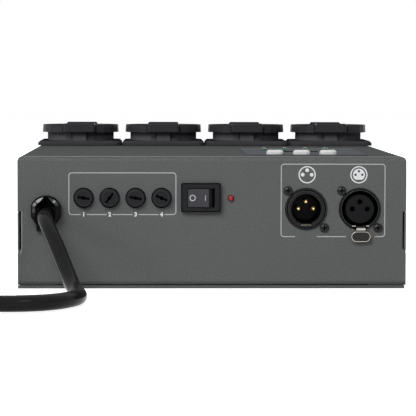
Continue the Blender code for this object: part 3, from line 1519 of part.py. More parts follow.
def xlr_latch(x):
    """The release lever: an arm in the shell's slot, a neck and an oval thumb tab."""
    half = LATCH_ARM_WIDTH / 2
    arm_top = XLR_HEIGHT - LATCH_ARM_TOP
    pivot = at(x, LATCH_PIVOT_DEPTH, arm_top - LATCH_ARM_THICKNESS / 2)
    front = -LATCH_PROUD - LATCH_PIVOT_DEPTH
    shape = bmesh.new()
    add_box(
        shape,
        (-half, front, -LATCH_ARM_THICKNESS / 2),
        (half, 0.0, LATCH_ARM_THICKNESS / 2),
    )
    latch = made_of("xlr_out_latch", shape, "nickel", pivot)
    tab_middle = TAB_CENTRE_HEIGHT - pivot.z
    neck = bmesh.new()
    add_box(
        neck,
        (-half, front, tab_middle),
        (half, front + TAB_THICKNESS, LATCH_ARM_THICKNESS / 2),
    )
    fuse(latch, made_of("latch_neck", neck, None, pivot))
    tab = bmesh.new()
    verts = add_box(
        tab,
        (-TAB_WIDTH / 2, front, tab_middle - TAB_HEIGHT / 2),
        (TAB_WIDTH / 2, front + TAB_THICKNESS, tab_middle + TAB_HEIGHT / 2),
    )
    round_edges(tab, verts, "Y", TAB_HEIGHT * TAB_ROUNDING, TAB_STEPS)
    fuse(latch, made_of("latch_tab", tab, None, pivot))


def xlr_screws():
    """Pan-head screws through the panel into the shells' flanges."""
    profile = (
        (0.0, GAP + PAN_HEAD_HEIGHT),
        (PAN_HEAD_RADIUS * 0.6, GAP + PAN_HEAD_HEIGHT),
        (PAN_HEAD_RADIUS, GAP + PAN_HEAD_HEIGHT / 2),
        (PAN_HEAD_RADIUS, GAP),
        (PAN_SHAFT_RADIUS, GAP),
        (PAN_SHAFT_RADIUS, -PAN_SHAFT_LENGTH),
        (0.0, -PAN_SHAFT_LENGTH),
    )
    mesh = settled(turned("pan_screw", profile, "screw_black", (0, 0, 0), sides=SMALL_SIDES))
    places = [
        at(x + aside, 0, XLR_HEIGHT + above)
        for x in (XLR_IN_X, XLR_OUT_X)
        for aside, above in XLR_SCREW_OFFSETS
    ]
    copies("xlr_screw", mesh, places, FACING_FRONT)


# Controls on the top


def control_overlay():
    """The printed film, with openings for the buttons, lamps and window."""
    bottom = HEIGHT + FILM_GAP
    film = block(
        "control_overlay",
        at(OVERLAY_X[0], OVERLAY_DEPTHS[0], bottom),
        at(OVERLAY_X[1], OVERLAY_DEPTHS[1], bottom + OVERLAY_THICKNESS),
        "overlay_film",
        ("Z", OVERLAY_CORNER, CORNER_STEPS),
    )
    shape = bmesh.new()
    low, high = bottom - GAP, bottom + OVERLAY_THICKNESS + GAP
    for x in BUTTON_XS:
        add_button_hole(shape, x, low, high)
    for x in CHANNEL_LAMP_XS:
        add_rod(shape, at(x, CHANNEL_LAMP_DEPTH, low), "Z", high - low, LAMP_HOLE, TINY_SIDES)
    half_x = WINDOW_SIZE[0] / 2 + GAP
    half_y = WINDOW_SIZE[1] / 2 + GAP
    add_box(
        shape,
        at(WINDOW_X - half_x, WINDOW_DEPTH - half_y, low),
        at(WINDOW_X + half_x, WINDOW_DEPTH + half_y, high),
    )
    cut(film, made_of("film_holes", shape, None))


def display_window():
    """The dark window in the top."""
    half_x, half_y = WINDOW_SIZE[0] / 2, WINDOW_SIZE[1] / 2
    top = HEIGHT + FILM_GAP + OVERLAY_THICKNESS
    block(
        "display_window",
        at(WINDOW_X - half_x, WINDOW_DEPTH - half_y, top - WINDOW_THICKNESS),
        at(WINDOW_X + half_x, WINDOW_DEPTH + half_y, top),
        "window_dark",
    )


def key_top():
    """Height of the tact switches' plungers."""
    return INNER_TOP - CONTROL_BOARD_DROP + 2 * GAP + KEY_HEIGHT + SHEET


def buttons():
    """Push buttons: a chamfered cap, a collar under the top and a stem over its tact switch."""
    half_x, half_y = BUTTON_SIZE[0] / 2, BUTTON_SIZE[1] / 2
    shape = bmesh.new()
    collar_top = -SHEET - GAP
    verts = add_box(shape, (-half_x, -half_y, collar_top), (half_x, half_y, BUTTON_PROUD))
    round_edges(shape, verts, "Z", BUTTON_CORNER, CORNER_STEPS)
    chamfer_top(shape, BUTTON_PROUD, BUTTON_CHAMFER)
    cap = made_of("button_model", shape, "button_grey")
    half_x, half_y = half_x + BUTTON_COLLAR, half_y + BUTTON_COLLAR
    collar = block(
        "button_collar",
        (-half_x, -half_y, collar_top - BUTTON_COLLAR_HEIGHT),
        (half_x, half_y, collar_top),
    )
    fuse(cap, collar)
    stem_bottom = key_top() + GAP + BUTTON_TRAVEL - HEIGHT
    stem = bmesh.new()
    length = collar_top - stem_bottom
    add_rod(stem, (0, 0, stem_bottom), "Z", length, BUTTON_STEM_RADIUS, TINY_SIDES)
    fuse(cap, made_of("button_stem", stem, None))
    mesh = settled(cap)
    copies("button", mesh, [at(x, BUTTON_DEPTH, HEIGHT) for x in BUTTON_XS])


def control_board():
    """The board under the top, with the display module and the tact switches soldered on."""
    top = INNER_TOP - CONTROL_BOARD_DROP
    board = block(
        "control_board",
        at(CONTROL_BOARD_X[0], CONTROL_BOARD_DEPTHS[0], top - BOARD_THICKNESS),
        at(CONTROL_BOARD_X[1], CONTROL_BOARD_DEPTHS[1], top),
        "board_green",
    )
    seat = top - BOARD_THICKNESS / 2
    body_top = top + GAP + KEY_HEIGHT
    half = KEY_SIDE / 2
    half_x, half_y = WINDOW_SIZE[0] / 2, WINDOW_SIZE[1] / 2
    shape = bmesh.new()
    add_box(
        shape,
        at(WINDOW_X - half_x, WINDOW_DEPTH - half_y, seat),
        at(WINDOW_X + half_x, WINDOW_DEPTH + half_y, top + MODULE_HEIGHT),
    )
    for x in BUTTON_XS:
        add_box(
            shape,
            at(x - half, BUTTON_DEPTH - half, seat),
            at(x + half, BUTTON_DEPTH + half, body_top),
        )
    fuse(board, made_of("board_blocks", shape, None))
    shape = bmesh.new()
    for x in BUTTON_XS:
        start = at(x, BUTTON_DEPTH, seat)
        add_rod(shape, start, "Z", key_top() - seat, KEY_PLUNGER_RADIUS, TINY_SIDES)
    fuse(board, made_of("plungers", shape, None))


# Relay board and mains parts inside


def board_corners(xs, depths):
    """Places of a board's four standoffs, a margin in from its corners."""
    return [
        (x, depth)
        for x in (xs[0] + BOARD_EDGE, xs[1] - BOARD_EDGE)
        for depth in (depths[0] + BOARD_EDGE, depths[1] - BOARD_EDGE)
    ]


def block_top():
    """Height of the terminal block's top."""
    return RELAY_BOARD_HEIGHT + GAP + BOARD_THICKNESS + BLOCK_SIZE[2]


def relay_board():
    """The board on the tray's posts, with four relays and the terminal block soldered on."""
    half = RELAY_BOARD_HALF_WIDTH
    bottom = RELAY_BOARD_HEIGHT + GAP
    top = bottom + BOARD_THICKNESS
    seat = bottom + BOARD_THICKNESS / 2
    board = block(
        "relay_board",
        at(-half, RELAY_BOARD_DEPTHS[0], bottom),
        at(half, RELAY_BOARD_DEPTHS[1], top),
        "board_green",
    )
    middle = (FUSE_XS[0] + FUSE_XS[-1]) / 2
    shape = bmesh.new()
    for x in outlet_xs():
        add_box(
            shape,
            at(x - RELAY_SIZE[0] / 2, RELAY_DEPTH - RELAY_SIZE[1] / 2, seat),
            at(x + RELAY_SIZE[0] / 2, RELAY_DEPTH + RELAY_SIZE[1] / 2, top + RELAY_SIZE[2]),
        )
    add_box(
        shape,
        at(middle - BLOCK_SIZE[0] / 2, BLOCK_DEPTH - BLOCK_SIZE[1] / 2, seat),
        at(middle + BLOCK_SIZE[0] / 2, BLOCK_DEPTH + BLOCK_SIZE[1] / 2, block_top()),
    )
    fuse(board, made_of("relays_and_block", shape, None))
    transformer(top + GAP)


def transformer(seat):
    """The supply transformer: a laminated core through a wound bobbin."""
    half = [size / 2 for size in CORE_BOX]
    core = block(
        "supply_transformer",
        at(TRANSFORMER_X - half[0], TRANSFORMER_DEPTH - half[1], seat),
        at(TRANSFORMER_X + half[0], TRANSFORMER_DEPTH + half[1], seat + CORE_BOX[2]),
        "core_steel",
    )
    half = [size / 2 for size in BOBBIN_BOX]
    middle = seat + CORE_BOX[2] / 2
    bobbin = block(
        "bobbin",
        at(TRANSFORMER_X - half[0], TRANSFORMER_DEPTH - half[1], middle - half[2]),
        at(TRANSFORMER_X + half[0], TRANSFORMER_DEPTH + half[1], middle + half[2]),
        rounded=("Z", FLANGE_CORNER / 2, CORNER_STEPS),
    )
    fuse(core, bobbin)


# Strain relief, lead, coil and plug


def strain_relief():
    """The moulded bushing: a domed head, a roof-shaped mouth, a clamp inside and a barrel."""
    dome = []
    for i in range(RELIEF_DOME_STEPS + 1):
        angle = math.pi * i / RELIEF_DOME_STEPS
        dome.append(
            (RELIEF_HALF_WIDTH * math.cos(angle), RELIEF_DOME_HEIGHT + RELIEF_HALF_WIDTH * math.sin(angle))
        )
    lower = [
        (-RELIEF_HALF_WIDTH, RELIEF_SHOULDER),
        (-RELIEF_BOTTOM_HALF, RELIEF_BOTTOM),
        (RELIEF_BOTTOM_HALF, RELIEF_BOTTOM),
        (RELIEF_HALF_WIDTH, RELIEF_SHOULDER),
    ]
    half = (RELIEF_PROUD - GAP) / 2
    place = at(RELIEF_X, -GAP - half, 0)
    head = outline("strain_relief", dome + lower, half, "relief_black", place)
    bevel(head, 0.0005, 1, 50.0)
    tab_low, tab_high = RELIEF_TAB
    tab = block(
        "relief_tab",
        at(RELIEF_X + tab_low[0], -RELIEF_PROUD / 2, tab_low[1]),
        at(RELIEF_X + tab_high[0], -GAP, tab_high[1]),
    )
    fuse(head, tab)
    shape = bmesh.new()
    start = at(RELIEF_X, -RELIEF_PROUD / 4, CORD_EXIT_HEIGHT)
    length = RELIEF_BARREL_LENGTH + RELIEF_PROUD / 4
    add_rod(shape, start, "Y", length, RELIEF_BARREL_RADIUS, ROUND_SIDES)
    fuse(head, made_of("relief_barrel", shape, None))
    roof = (
        (-RELIEF_MOUTH_HALF, RELIEF_MOUTH_SHOULDER),
        (-RELIEF_MOUTH_HALF, RELIEF_CLAMP_TOP - SHEET),
        (RELIEF_MOUTH_HALF, RELIEF_CLAMP_TOP - SHEET),
        (RELIEF_MOUTH_HALF, RELIEF_MOUTH_SHOULDER),
        (0.0006, RELIEF_MOUTH_APEX),
        (-0.0006, RELIEF_MOUTH_APEX),
    )
    deep = RELIEF_MOUTH_DEPTH / 2
    cut(head, outline("mouth_roof", roof, deep, None, at(RELIEF_X, deep - RELIEF_PROUD - GAP, 0)))
    shallow = (
        (-RELIEF_MOUTH_HALF, RELIEF_CLAMP_TOP),
        (-RELIEF_MOUTH_HALF, RELIEF_MOUTH_BOTTOM + 0.0024),
        (-RELIEF_MOUTH_HALF + 0.0024, RELIEF_MOUTH_BOTTOM),
        (RELIEF_MOUTH_HALF - 0.0024, RELIEF_MOUTH_BOTTOM),
        (RELIEF_MOUTH_HALF, RELIEF_MOUTH_BOTTOM + 0.0024),
        (RELIEF_MOUTH_HALF, RELIEF_CLAMP_TOP),
    )
    set_back = (RELIEF_CLAMP_SET + GAP) / 2
    place = at(RELIEF_X, set_back - RELIEF_PROUD - GAP, 0)
    cut(head, outline("mouth_clamp", shallow, set_back, None, place))


def lead_line():
    """The lead's middle line: straight out of the strain relief, the route, straight to the coil."""
    clamp = RELIEF_PROUD - RELIEF_CLAMP_SET + GAP
    start = (RELIEF_X, clamp, CORD_EXIT_HEIGHT)
    straight = (RELIEF_X, clamp + CORD_DIAMETER, CORD_EXIT_HEIGHT)
    outer = coil_radius(0.0)
    end_x = COIL_X + CORD_DIAMETER + GAP
    distance = COIL_DISTANCE + outer
    run_in = (end_x + CORD_DIAMETER, distance, COIL_BASE)
    end = (end_x, distance, COIL_BASE)
    middle = [(RELIEF_X + aside, out, z) for aside, out, z in LEAD_ROUTE]
    route = (start, straight, *middle, run_in, end)
    return smooth_route([(x, PANEL_Y - out, z) for x, out, z in route], 2.2 * CORD_DIAMETER / 3)


def mains_cable():
    """The free stretch of the lead."""
    line = lead_line()
    thinned = line[::3]
    if len(line) % 3 != 1:
        thinned = np.vstack([thinned, line[-1]])
    tubes("mains_cable", [thinned], CORD_DIAMETER / 2, "cord_black", 3)
    length = np.linalg.norm(np.diff(thinned, axis=0), axis=1).sum()
    print(f"mains_cable: {len(thinned)} points, {length:.3f} m")


def coil_radius(turn):
    """The coil's radius after so many turns: in at a steady rate, and out again."""
    middle = COIL_TURNS / 2
    outer = COIL_MEAN_RADIUS + LAYER_STEP * middle / 2
    return outer - LAYER_STEP * (middle - abs(turn - middle))


def coil_height(turn):
    """The coil's height after so many turns: it climbs in the half turn round the middle."""
    climb = min(max((turn - COIL_TURNS / 2 + 0.25) / 0.5, 0.0), 1.0)
    return COIL_BASE + LAYER_STEP * climb


def coil_place(turn):
    angle = 2 * math.pi * turn
    radius = coil_radius(turn)
    return (
        COIL_X - radius * math.sin(angle),
        PANEL_Y - COIL_DISTANCE - radius * math.cos(angle),
        coil_height(turn),
    )


def coil_line():
    """The coil's middle line, with a straight run at each end."""
    count = round(COIL_TURNS * COIL_POINTS)
    turns = [COIL_TURNS * i / count for i in range(count + 1)]
    line = [coil_place(turn) for turn in turns]
    first = line[0]
    line.insert(0, (first[0] + CORD_DIAMETER, first[1], first[2]))
    x, y, z = line[-1]
    rise = PLUG_RADIUS - z
    steps = 5
    for i in range(1, steps + 1):
        share = i / steps
        ease = share * share * (3 - 2 * share)
        line.append((x, y + (PLUG_LEAD - CORD_DIAMETER) * share, z + rise * ease))
    line.append((x, y + PLUG_LEAD, PLUG_RADIUS))
    return np.array(line)


def least_gap(line, diameter):
    """The smallest gap between the surfaces of two stretches of a tube, measured on points."""
    steps = np.linalg.norm(np.diff(line, axis=0), axis=1)
    along = np.concatenate([[0], np.cumsum(steps)])
    where = np.arange(0, along[-1], diameter / 4)
    dense = np.stack([np.interp(where, along, line[:, k]) for k in range(3)], axis=1)
    least = math.inf
    for i, point in enumerate(dense):
        later = dense[i + 16 :]
        if len(later):
            least = min(least, float(np.linalg.norm(later - point, axis=1).min()))
    return least - diameter


def mains_coil():
    """The rest of the lead, wound in two layers, and its end that runs to the plug."""
    line = coil_line()
    tubes("mains_coil", [line], CORD_DIAMETER / 2, "cord_black", 1)
    length = np.linalg.norm(np.diff(line, axis=0), axis=1).sum()
    gap = least_gap(line, CORD_DIAMETER)
    print(f"mains_coil: {len(line)} points, {length:.3f} m, least gap to itself {gap * 1000:.2f} mm")


def coil_tie():
    """A strap round the bundle of turns."""
    radii = [coil_radius(turn) for turn in np.arange(0, COIL_TURNS, 1 / 360)]
    inner = min(radii) - CORD_DIAMETER / 2 - 2 * GAP
    outer = max(radii) + CORD_DIAMETER / 2 + 2 * GAP
    low = COIL_BASE - CORD_DIAMETER / 2 - GAP
    high = COIL_BASE + LAYER_STEP + CORD_DIAMETER / 2 + GAP
    thick = TIE_THICKNESS
    half = TIE_WIDTH / 2
    shape = bmesh.new()
    verts = add_box(shape, (inner - thick, -half, low - thick), (outer + thick, half, high + thick))
    round_edges(shape, verts, "Y", TIE_CORNER + TIE_THICKNESS, CORNER_STEPS)
    facing = (0.0, 0.0, -math.pi / 2 - TIE_TURN)
    place = (COIL_X, PANEL_Y - COIL_DISTANCE, 0)
    strap = made_of("coil_tie", shape, "cord_black", place, facing)
    shape = bmesh.new()
    verts = add_box(shape, (inner, -TIE_WIDTH, low), (outer, TIE_WIDTH, high))
    round_edges(shape, verts, "Y", TIE_CORNER, CORNER_STEPS)
    cut(strap, made_of("tie_inside", shape, None, place, facing))


def plug_place():
    """Where the lead meets the plug, on the plug's own axis."""
    x, y, z = coil_line()[-1]
    return Vector((x, y + GAP, z))


def mains_plug():
    """The moulded plug on its side: two pins, a round face, a tapered grip and a neck."""
    grip = PLUG_LENGTH - PLUG_FACE_LENGTH
    profile = (
        (0.0, PLUG_LENGTH),
        (PLUG_RADIUS - 0.0010, PLUG_LENGTH),
        (PLUG_RADIUS, PLUG_LENGTH - 0.0010),
        (PLUG_RADIUS, grip),
        (PLUG_RADIUS * 0.86, grip * 0.80),
        (PLUG_RADIUS * 0.62, grip * 0.45),
        (PLUG_NECK_RADIUS + 0.0014, grip * 0.22),
        (PLUG_NECK_RADIUS, 0.0),
        (0.0, 0.0),
    )
    place = plug_place()
    plug = turned("mains_plug", profile, "cord_black", place, FACING_BACK, WIDE_SIDES)
    shape = bmesh.new()
    half = PLUG_NOTCH[0] / 2
    depth = PLUG_NOTCH[1]
    reach = PLUG_RADIUS - depth
    for side in (-1, 1):
        near, far = sorted((side * reach, side * (PLUG_RADIUS + depth)))
        add_box(
            shape,
            place + Vector((-half, grip + GAP, near)),
            place + Vector((half, PLUG_LENGTH + GAP, far)),
        )
        near, far = sorted((side * (PLUG_RADIUS - PLUG_STRIP_THICKNESS - 2 * GAP), side * (PLUG_RADIUS + depth)))
        half_strip = PLUG_STRIP_WIDTH / 2 + GAP
        add_box(
            shape,
            place + Vector((near, grip + SHEET, -half_strip)),
            place + Vector((far, PLUG_LENGTH + GAP, half_strip)),
        )
    cut(plug, made_of("plug_notches", shape, None))
    shape = bmesh.new()
    for side in (-1, 1):
        start = place + Vector((0, PLUG_LENGTH - GAP, side * PIN_SPACING / 2))
        add_rod(shape, start, "Y", PLUG_PIN_LENGTH + GAP, PLUG_PIN_RADIUS, TINY_SIDES)
    fuse(plug, made_of("plug_pins", shape, None))


clear_scene()
PARTS = new_collection("dmx_switch_pack")
CUTTERS = new_collection("cutters")

housing()
base_plate()
cover_screws()
outlets()
live_leads()
neutral_bus()
earth_bus()
fuse_holders()
fuse_knobs()
fuse_links()
switch_body()
switch_rocker()
lamps()
xlr_in()
xlr_out()
xlr_screws()
control_overlay()
display_window()
buttons()
control_board()
relay_board()
strain_relief()
mains_cable()
mains_coil()
coil_tie()
mains_plug()
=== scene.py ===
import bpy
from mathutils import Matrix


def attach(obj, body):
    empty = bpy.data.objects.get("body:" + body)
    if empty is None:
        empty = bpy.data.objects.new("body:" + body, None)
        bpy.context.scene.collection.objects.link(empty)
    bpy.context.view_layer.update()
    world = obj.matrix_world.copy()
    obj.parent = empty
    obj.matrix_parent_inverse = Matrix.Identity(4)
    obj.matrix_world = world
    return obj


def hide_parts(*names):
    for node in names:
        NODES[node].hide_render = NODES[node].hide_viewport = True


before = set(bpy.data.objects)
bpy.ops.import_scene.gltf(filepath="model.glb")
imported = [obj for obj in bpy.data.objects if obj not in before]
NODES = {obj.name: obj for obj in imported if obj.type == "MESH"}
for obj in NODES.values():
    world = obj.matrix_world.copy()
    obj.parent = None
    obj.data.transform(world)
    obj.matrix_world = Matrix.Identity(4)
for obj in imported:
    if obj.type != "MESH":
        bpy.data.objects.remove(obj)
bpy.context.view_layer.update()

import math

import bmesh
import bpy
import numpy as np
from mathutils import Euler, Matrix, Vector

# The looks of the switch pack: fine round pieces, printed marks, the mains lead and all materials.
# Metres. +X runs to the right along the connector panel, +Y to the back, +Z up. A depth is a
# distance behind the connector panel's outer face. A piece on the panel is drawn flat, with x to
# the right, y up and z towards the viewer, and is then set upright.

PANEL_Y = -0.110
HEIGHT = 0.070
HALF_WIDTH = 0.103
GAP = 0.0003  # between a piece of the scene and the solid that it lies on
CLEAR = 0.001  # how far a cutter reaches past a surface
NEAR = 0.0001  # tolerance when faces are picked by their place
TINY = 0.000001
FORWARD = 0.2  # a face's lean that shows it from the front
INK = 0.00004
INK_LIFT = 0.00003
FINE_SIDES = 64

CAMERA_PLACE = (-0.0270, PANEL_Y - 1.030, 0.1104)
CAMERA_YAW = math.radians(1.374)
CAMERA_PITCH = math.radians(3.754)
CAMERA_ROLL = math.radians(0.12)
CAMERA_LENS = 168.65

WHITE = (1.0, 1.0, 1.0, 1.0)
WORLD_STRENGTH = 0.11
FLOOR_LIFT = 0.90
FLOOR_SIZE = 6.0
FLOOR_DROP = 0.0002
LAMPS = (  # name, place, aim, size, energy
    ("key", (-0.62, -1.15, 1.15), (-0.08, -0.1, 0.04), (0.9, 0.7), 16.5),
    ("left", (-1.35, -1.05, 0.55), (-0.08, -0.1, 0.04), (0.5, 0.5), 4.4),
    ("right", (0.62, -1.05, 0.90), (0.0, -0.1, 0.04), (0.32, 0.24), 1.8),
    ("back", (0.5, 1.9, 0.60), (0.0, 0.0, 0.05), (1.6, 0.8), 14.0),
)

# Looks: colour, lowest and highest roughness, depth of the grain, spread of the colour, specular
# level, and patches and grains per metre. What a row leaves out is as usual.
USUAL_LOOK = (None, None, 0.05, 0.10, 0.14, 60.0, 2200.0)
LOOKS = {
    "powder_grey": ((0.122, 0.128, 0.124), (0.50, 0.60), 0.60, 0.05, 0.0, 35.0, 1500.0),
    "powder_base": ((0.112, 0.115, 0.115), (0.50, 0.60), 0.60, 0.05, 0.0, 35.0, 1500.0),
    # painted highlight: a lighter line on the lid's bend and on the left notch's edge
    "painted_edge_highlight": ((0.30, 0.31, 0.31), (0.50, 0.60), 0.10, 0.12, 0.0, 900.0),
    # painted shade: near black for the insides of holes, grooves, slots and gaps, and round the
    # fuse caps
    "painted_shade_black": ((0.003, 0.003, 0.003), (0.55, 0.65), 0.02, 0.10, 0.02),
    "print_white": ((0.86, 0.87, 0.88), (0.50, 0.60), 0.02, 0.08, 0.14, 900.0),
    "print_pale": ((0.56, 0.59, 0.61), (0.50, 0.60), 0.02, 0.10, 0.14, 900.0),
    "print_dark": ((0.060, 0.062, 0.064), (0.50, 0.60), 0.02, 0.06),
    "film_grey": ((0.160, 0.173, 0.184), (0.50, 0.60), 0.08, 0.05, 0.0, 50.0),
    "window_tint": ((0.012, 0.008, 0.009), (0.13, 0.17), 0.0, 0.20, 0.0),
    "button_plastic": ((0.85, 0.85, 0.835), (0.41, 0.51), 0.08, 0.04, 0.14, 300.0, 3000.0),
    "cord_sheath": ((0.014, 0.014, 0.015), (0.12, 0.22), 0.03, 0.12, 0.07, 120.0),
    "plug_rubber": ((0.020, 0.020, 0.021), (0.43, 0.53), 0.15, 0.10, 0.14, 60.0, 2600.0),
    "tie_weave": ((0.022, 0.022, 0.024), (0.57, 0.67), 0.50, 0.25, 0.14, 2500.0, 1400.0),
    # painted sheen: the relief's black plastic made glossier only where highlights are wanted
    "relief_painted_sheen": ((0.005, 0.005, 0.006), (0.09, 0.15), 0.004, 0.10, 0.50),
    "relief_nylon": ((0.006, 0.006, 0.007), (0.25, 0.35), 0.02, 0.10, 0.06),
    # painted light: a lighter copy of the relief's black plastic for the clamp's ledge
    "relief_ledge_painted_light": ((0.022, 0.022, 0.024), (0.35, 0.45), 0.02, 0.10, 0.08),
    "fuse_black": ((0.012, 0.012, 0.013), (0.25, 0.35), 0.05, 0.10, 0.14, 60.0, 3000.0),
    "fuse_cap_black": ((0.017, 0.017, 0.019), (0.25, 0.35), 0.04, 0.10, 0.10),
    # painted highlight: a lighter ring near the cap's edge; below it, the slot's floor painted
    # darker as shade
    "fuse_cap_painted_highlight": ((0.036, 0.036, 0.040), (0.25, 0.35), 0.04, 0.25, 0.10, 900.0),
    "fuse_cap_painted_shade": ((0.006, 0.006, 0.006), (0.45, 0.55), 0.02, 0.10, 0.02),
    "switch_plastic": ((0.019, 0.019, 0.021), (0.29, 0.39), 0.06, 0.10, 0.08),
    "rocker_plastic": ((0.052, 0.052, 0.059), (0.25, 0.35), 0.05, 0.08, 0.14, 60.0, 3400.0),
    "xlr_coating": ((0.012, 0.012, 0.013), (0.23, 0.33), 0.10, 0.10, 0.14, 60.0, 2600.0),
    # painted highlight: lighter rings of the connector's coating
    "xlr_painted_highlight": ((0.050, 0.050, 0.054), (0.25, 0.35), 0.05, 0.15, 0.14, 300.0),
    "insert_plastic": ((0.008, 0.008, 0.009), (0.45, 0.55), 0.12, 0.10, 0.08),
    "screw_oxide": ((0.008, 0.008, 0.009), (0.12, 0.22), 0.01, 0.10, 0.24, 60.0, 1500.0),
    # painted shade: a dark, non-metal copy of the latch's nickel
    "latch_painted_shade": ((0.030, 0.028, 0.026), (0.19, 0.29), 0.20, 0.45, 0.12, 1500.0),
    "outlet_plastic": ((0.042, 0.042, 0.047), (0.31, 0.41), 0.12, 0.10, 0.06, 45.0),
    # painted light: the outlets' plastic darker on top as shade, lighter on the flange's front,
    # lighter still on the barrels
    "outlet_top_painted_shade": ((0.030, 0.030, 0.034), (0.45, 0.55), 0.20, 0.10, 0.0, 45.0),
    "outlet_foot_painted_light": ((0.058, 0.058, 0.064), (0.31, 0.41), 0.12, 0.10, 0.0, 45.0),
    "outlet_barrel_painted_highlight": ((0.115, 0.115, 0.125), (0.31, 0.41), 0.12, 0.10, 0.0, 45.0),
    "board_mask": ((0.020, 0.120, 0.055), (0.30, 0.40), 0.10, 0.15, 0.14, 250.0, 900.0),
    "core_steel": ((0.20, 0.19, 0.18), (0.40, 0.50), 0.20, 0.12, 0.5, 80.0, 700.0),
    "lamp_red": ((0.34, 0.016, 0.020), (0.08, 0.12), 0.01, 0.08),
    "lamp_green": ((0.045, 0.130, 0.075), (0.10, 0.14), 0.01, 0.08),
    "fuse_glass": ((0.72, 0.76, 0.76), (0.08, 0.12), 0.01, 0.05),
}
METALS = {  # without the specular level
    "pin_nickel": ((0.66, 0.64, 0.60), (0.20, 0.30), 0.02, 0.05, 60.0, 900.0),
    "strip_nickel": ((0.24, 0.225, 0.20), (0.29, 0.39), 0.03, 0.06, 60.0, 1200.0),
    "contact_gold": ((0.80, 0.765, 0.69), (0.15, 0.25), 0.03, 0.08, 500.0, 1500.0),
    "latch_plate": ((0.43, 0.41, 0.385), (0.17, 0.27), 0.04, 0.06, 60.0, 1200.0),
    "strap_nickel": ((0.62, 0.60, 0.56), (0.23, 0.33), 0.03, 0.06, 60.0, 1200.0),
    "bus_brass": ((0.68, 0.50, 0.24), (0.29, 0.39), 0.04, 0.08, 60.0, 1200.0),
}
OTHER_SOCKETS = {
    "core_steel": {"Metallic": 0.8},
    "lamp_red": {"Coat_Weight": 0.3},
    "lamp_green": {"Coat_Weight": 0.2},
    "fuse_glass": {"Transmission_Weight": 0.5},
}
for name, row in METALS.items():
    LOOKS[name] = (*row[:4], 0.5, *row[4:])
    OTHER_SOCKETS[name] = {"Metallic": 1.0}
GRAIN_DEPTH = 0.0002
SPECKLE_SCALE = 1600.0
SPECKLE_RANGE = (0.40, 0.70)
SPECKLE_SHARE = 0.60
SPECKLE_GAIN = 1.6
# Painted shade: the cover's coat darkens between these heights, to this share of its colour at the
# bottom.
BOTTOM_SHADE_RANGE = (0.0019, 0.0044)
BOTTOM_SHADE_LEVEL = 0.38


def numbered(stem, count):
    return [f"{stem}_{i + 1}" for i in range(count)]


DRESSED = (  # nodes, look, rounding of their edges
    (["switch_body"], "switch_plastic", 0.00018),
    (["switch_rocker"], "rocker_plastic", 0.00030),
    (["control_overlay"], "film_grey", 0.0),
    (["display_window"], "window_tint", 0.0002),
    (numbered("button", 3), "button_plastic", 0.0003),
    (numbered("cover_screw", 4), "screw_oxide", 0.0),
    (["coil_tie"], "tie_weave", 0.0003),
    (["earth_bus"], "strap_nickel", 0.0),
    (["neutral_bus", *numbered("live_lead", 4)], "bus_brass", 0.0),
    (["control_board", "relay_board"], "board_mask", 0.0),
    (["supply_transformer"], "core_steel", 0.0),
    (numbered("fuse_link", 4), "fuse_glass", 0.0),
)

# Sheets
SHEET_CREASE = 50.0
NOTCH_DEPTH = 0.0019
NOTCH_LENGTH = 0.017
NOTCH_TOP = 0.0409
NOTCH_FOOT = 0.0200
NOTCH_SLOT = 0.0006
FILLER_HEIGHTS = (NOTCH_FOOT - 0.0012, NOTCH_FOOT + 0.0022)
FILLER_DEPTHS = (0.0004, 0.0100)
FILLER_SET = 0.0002
# The slits are black bands painted as shade; the edge line is a painted highlight beside the left
# notch.
SLIT_SET = 0.00135
SLITS = ((-1, "left", 0.0010), (1, "right", 0.0006))
EDGE_LINE = ((0.0013, NOTCH_FOOT - 0.0018), (0.0022, NOTCH_FOOT + 0.0008), (0.0022, NOTCH_TOP))
EDGE_WIDTH = 0.0006
BASE_RIM = ((-HALF_WIDTH, 0.00005, 0.0), (HALF_WIDTH - 0.0007, 0.00080, 0.0016), 0.0001)
SHEET_LINES = (  # name, left and right end, width, look, slot, depth, height, lean
    ("overlay_line", (0.0192, 0.0848), 0.0005, "print_pale", "film", 0.1080, HEIGHT + 0.00043, 0.0),
    # the bend line is a painted highlight along the lid's rounded front edge
    (
        "bend_line", (0.003 - HALF_WIDTH, HALF_WIDTH - 0.003), 0.0008, "painted_edge_highlight", "housing_paint",
        0.00125, HEIGHT - 0.00012, math.radians(24.0),
    ),
)

# Fuse holders
LAST_FUSE_X = -0.0269
FUSE_PITCH = 0.206 / 15
FUSE_XS = tuple(LAST_FUSE_X - FUSE_PITCH * i for i in (3, 2, 1, 0))
FUSE_TURNS = (-10.0, 53.0, -10.0, -24.0)
FUSE_HEIGHT = 0.0482
FUSE_RIM_RADIUS = 0.0054
FUSE_RIM_PROUD = 0.0014
FUSE_BODY_RADIUS = 0.0049
FUSE_BORE = 0.0042
FUSE_BORE_DEPTH = 0.0340
FUSE_BODY_LENGTH = 0.0360
SOCKET_STEPS = (  # outwards from the body's radius, down from the rim's top
    (-0.0001, 0.0005), (0.0, 0.0), (0.00015, 0.0), (0.0003, 0.0003), (0.0004, 0.0005)
)
KNOB_RADIUS = 0.0039
KNOB_HEAD_RADIUS = 0.0047
KNOB_HEAD_BACK = 0.0017
KNOB_PROUD = 0.0026
KNOB_LENGTH = 0.0085
KNOB_SLOT_WIDTH = 0.0012
KNOB_SLOT_LENGTH = 0.0066
KNOB_SLOT_DEPTH = 0.0020
KNOB_EYE_RADIUS = 0.0010
KNOB_EYE_DEPTH = 0.0028
CAP_STEPS = (  # inwards from the head's edge, down from its top
    (0.0, 0.0004), (0.0001, 0.00015), (0.00035, 0.00004), (0.0006, 0.0),
    (0.00085, 0.0), (0.00095, 0.00018), (0.0011, 0.00018), (0.0012, 0.0),
)

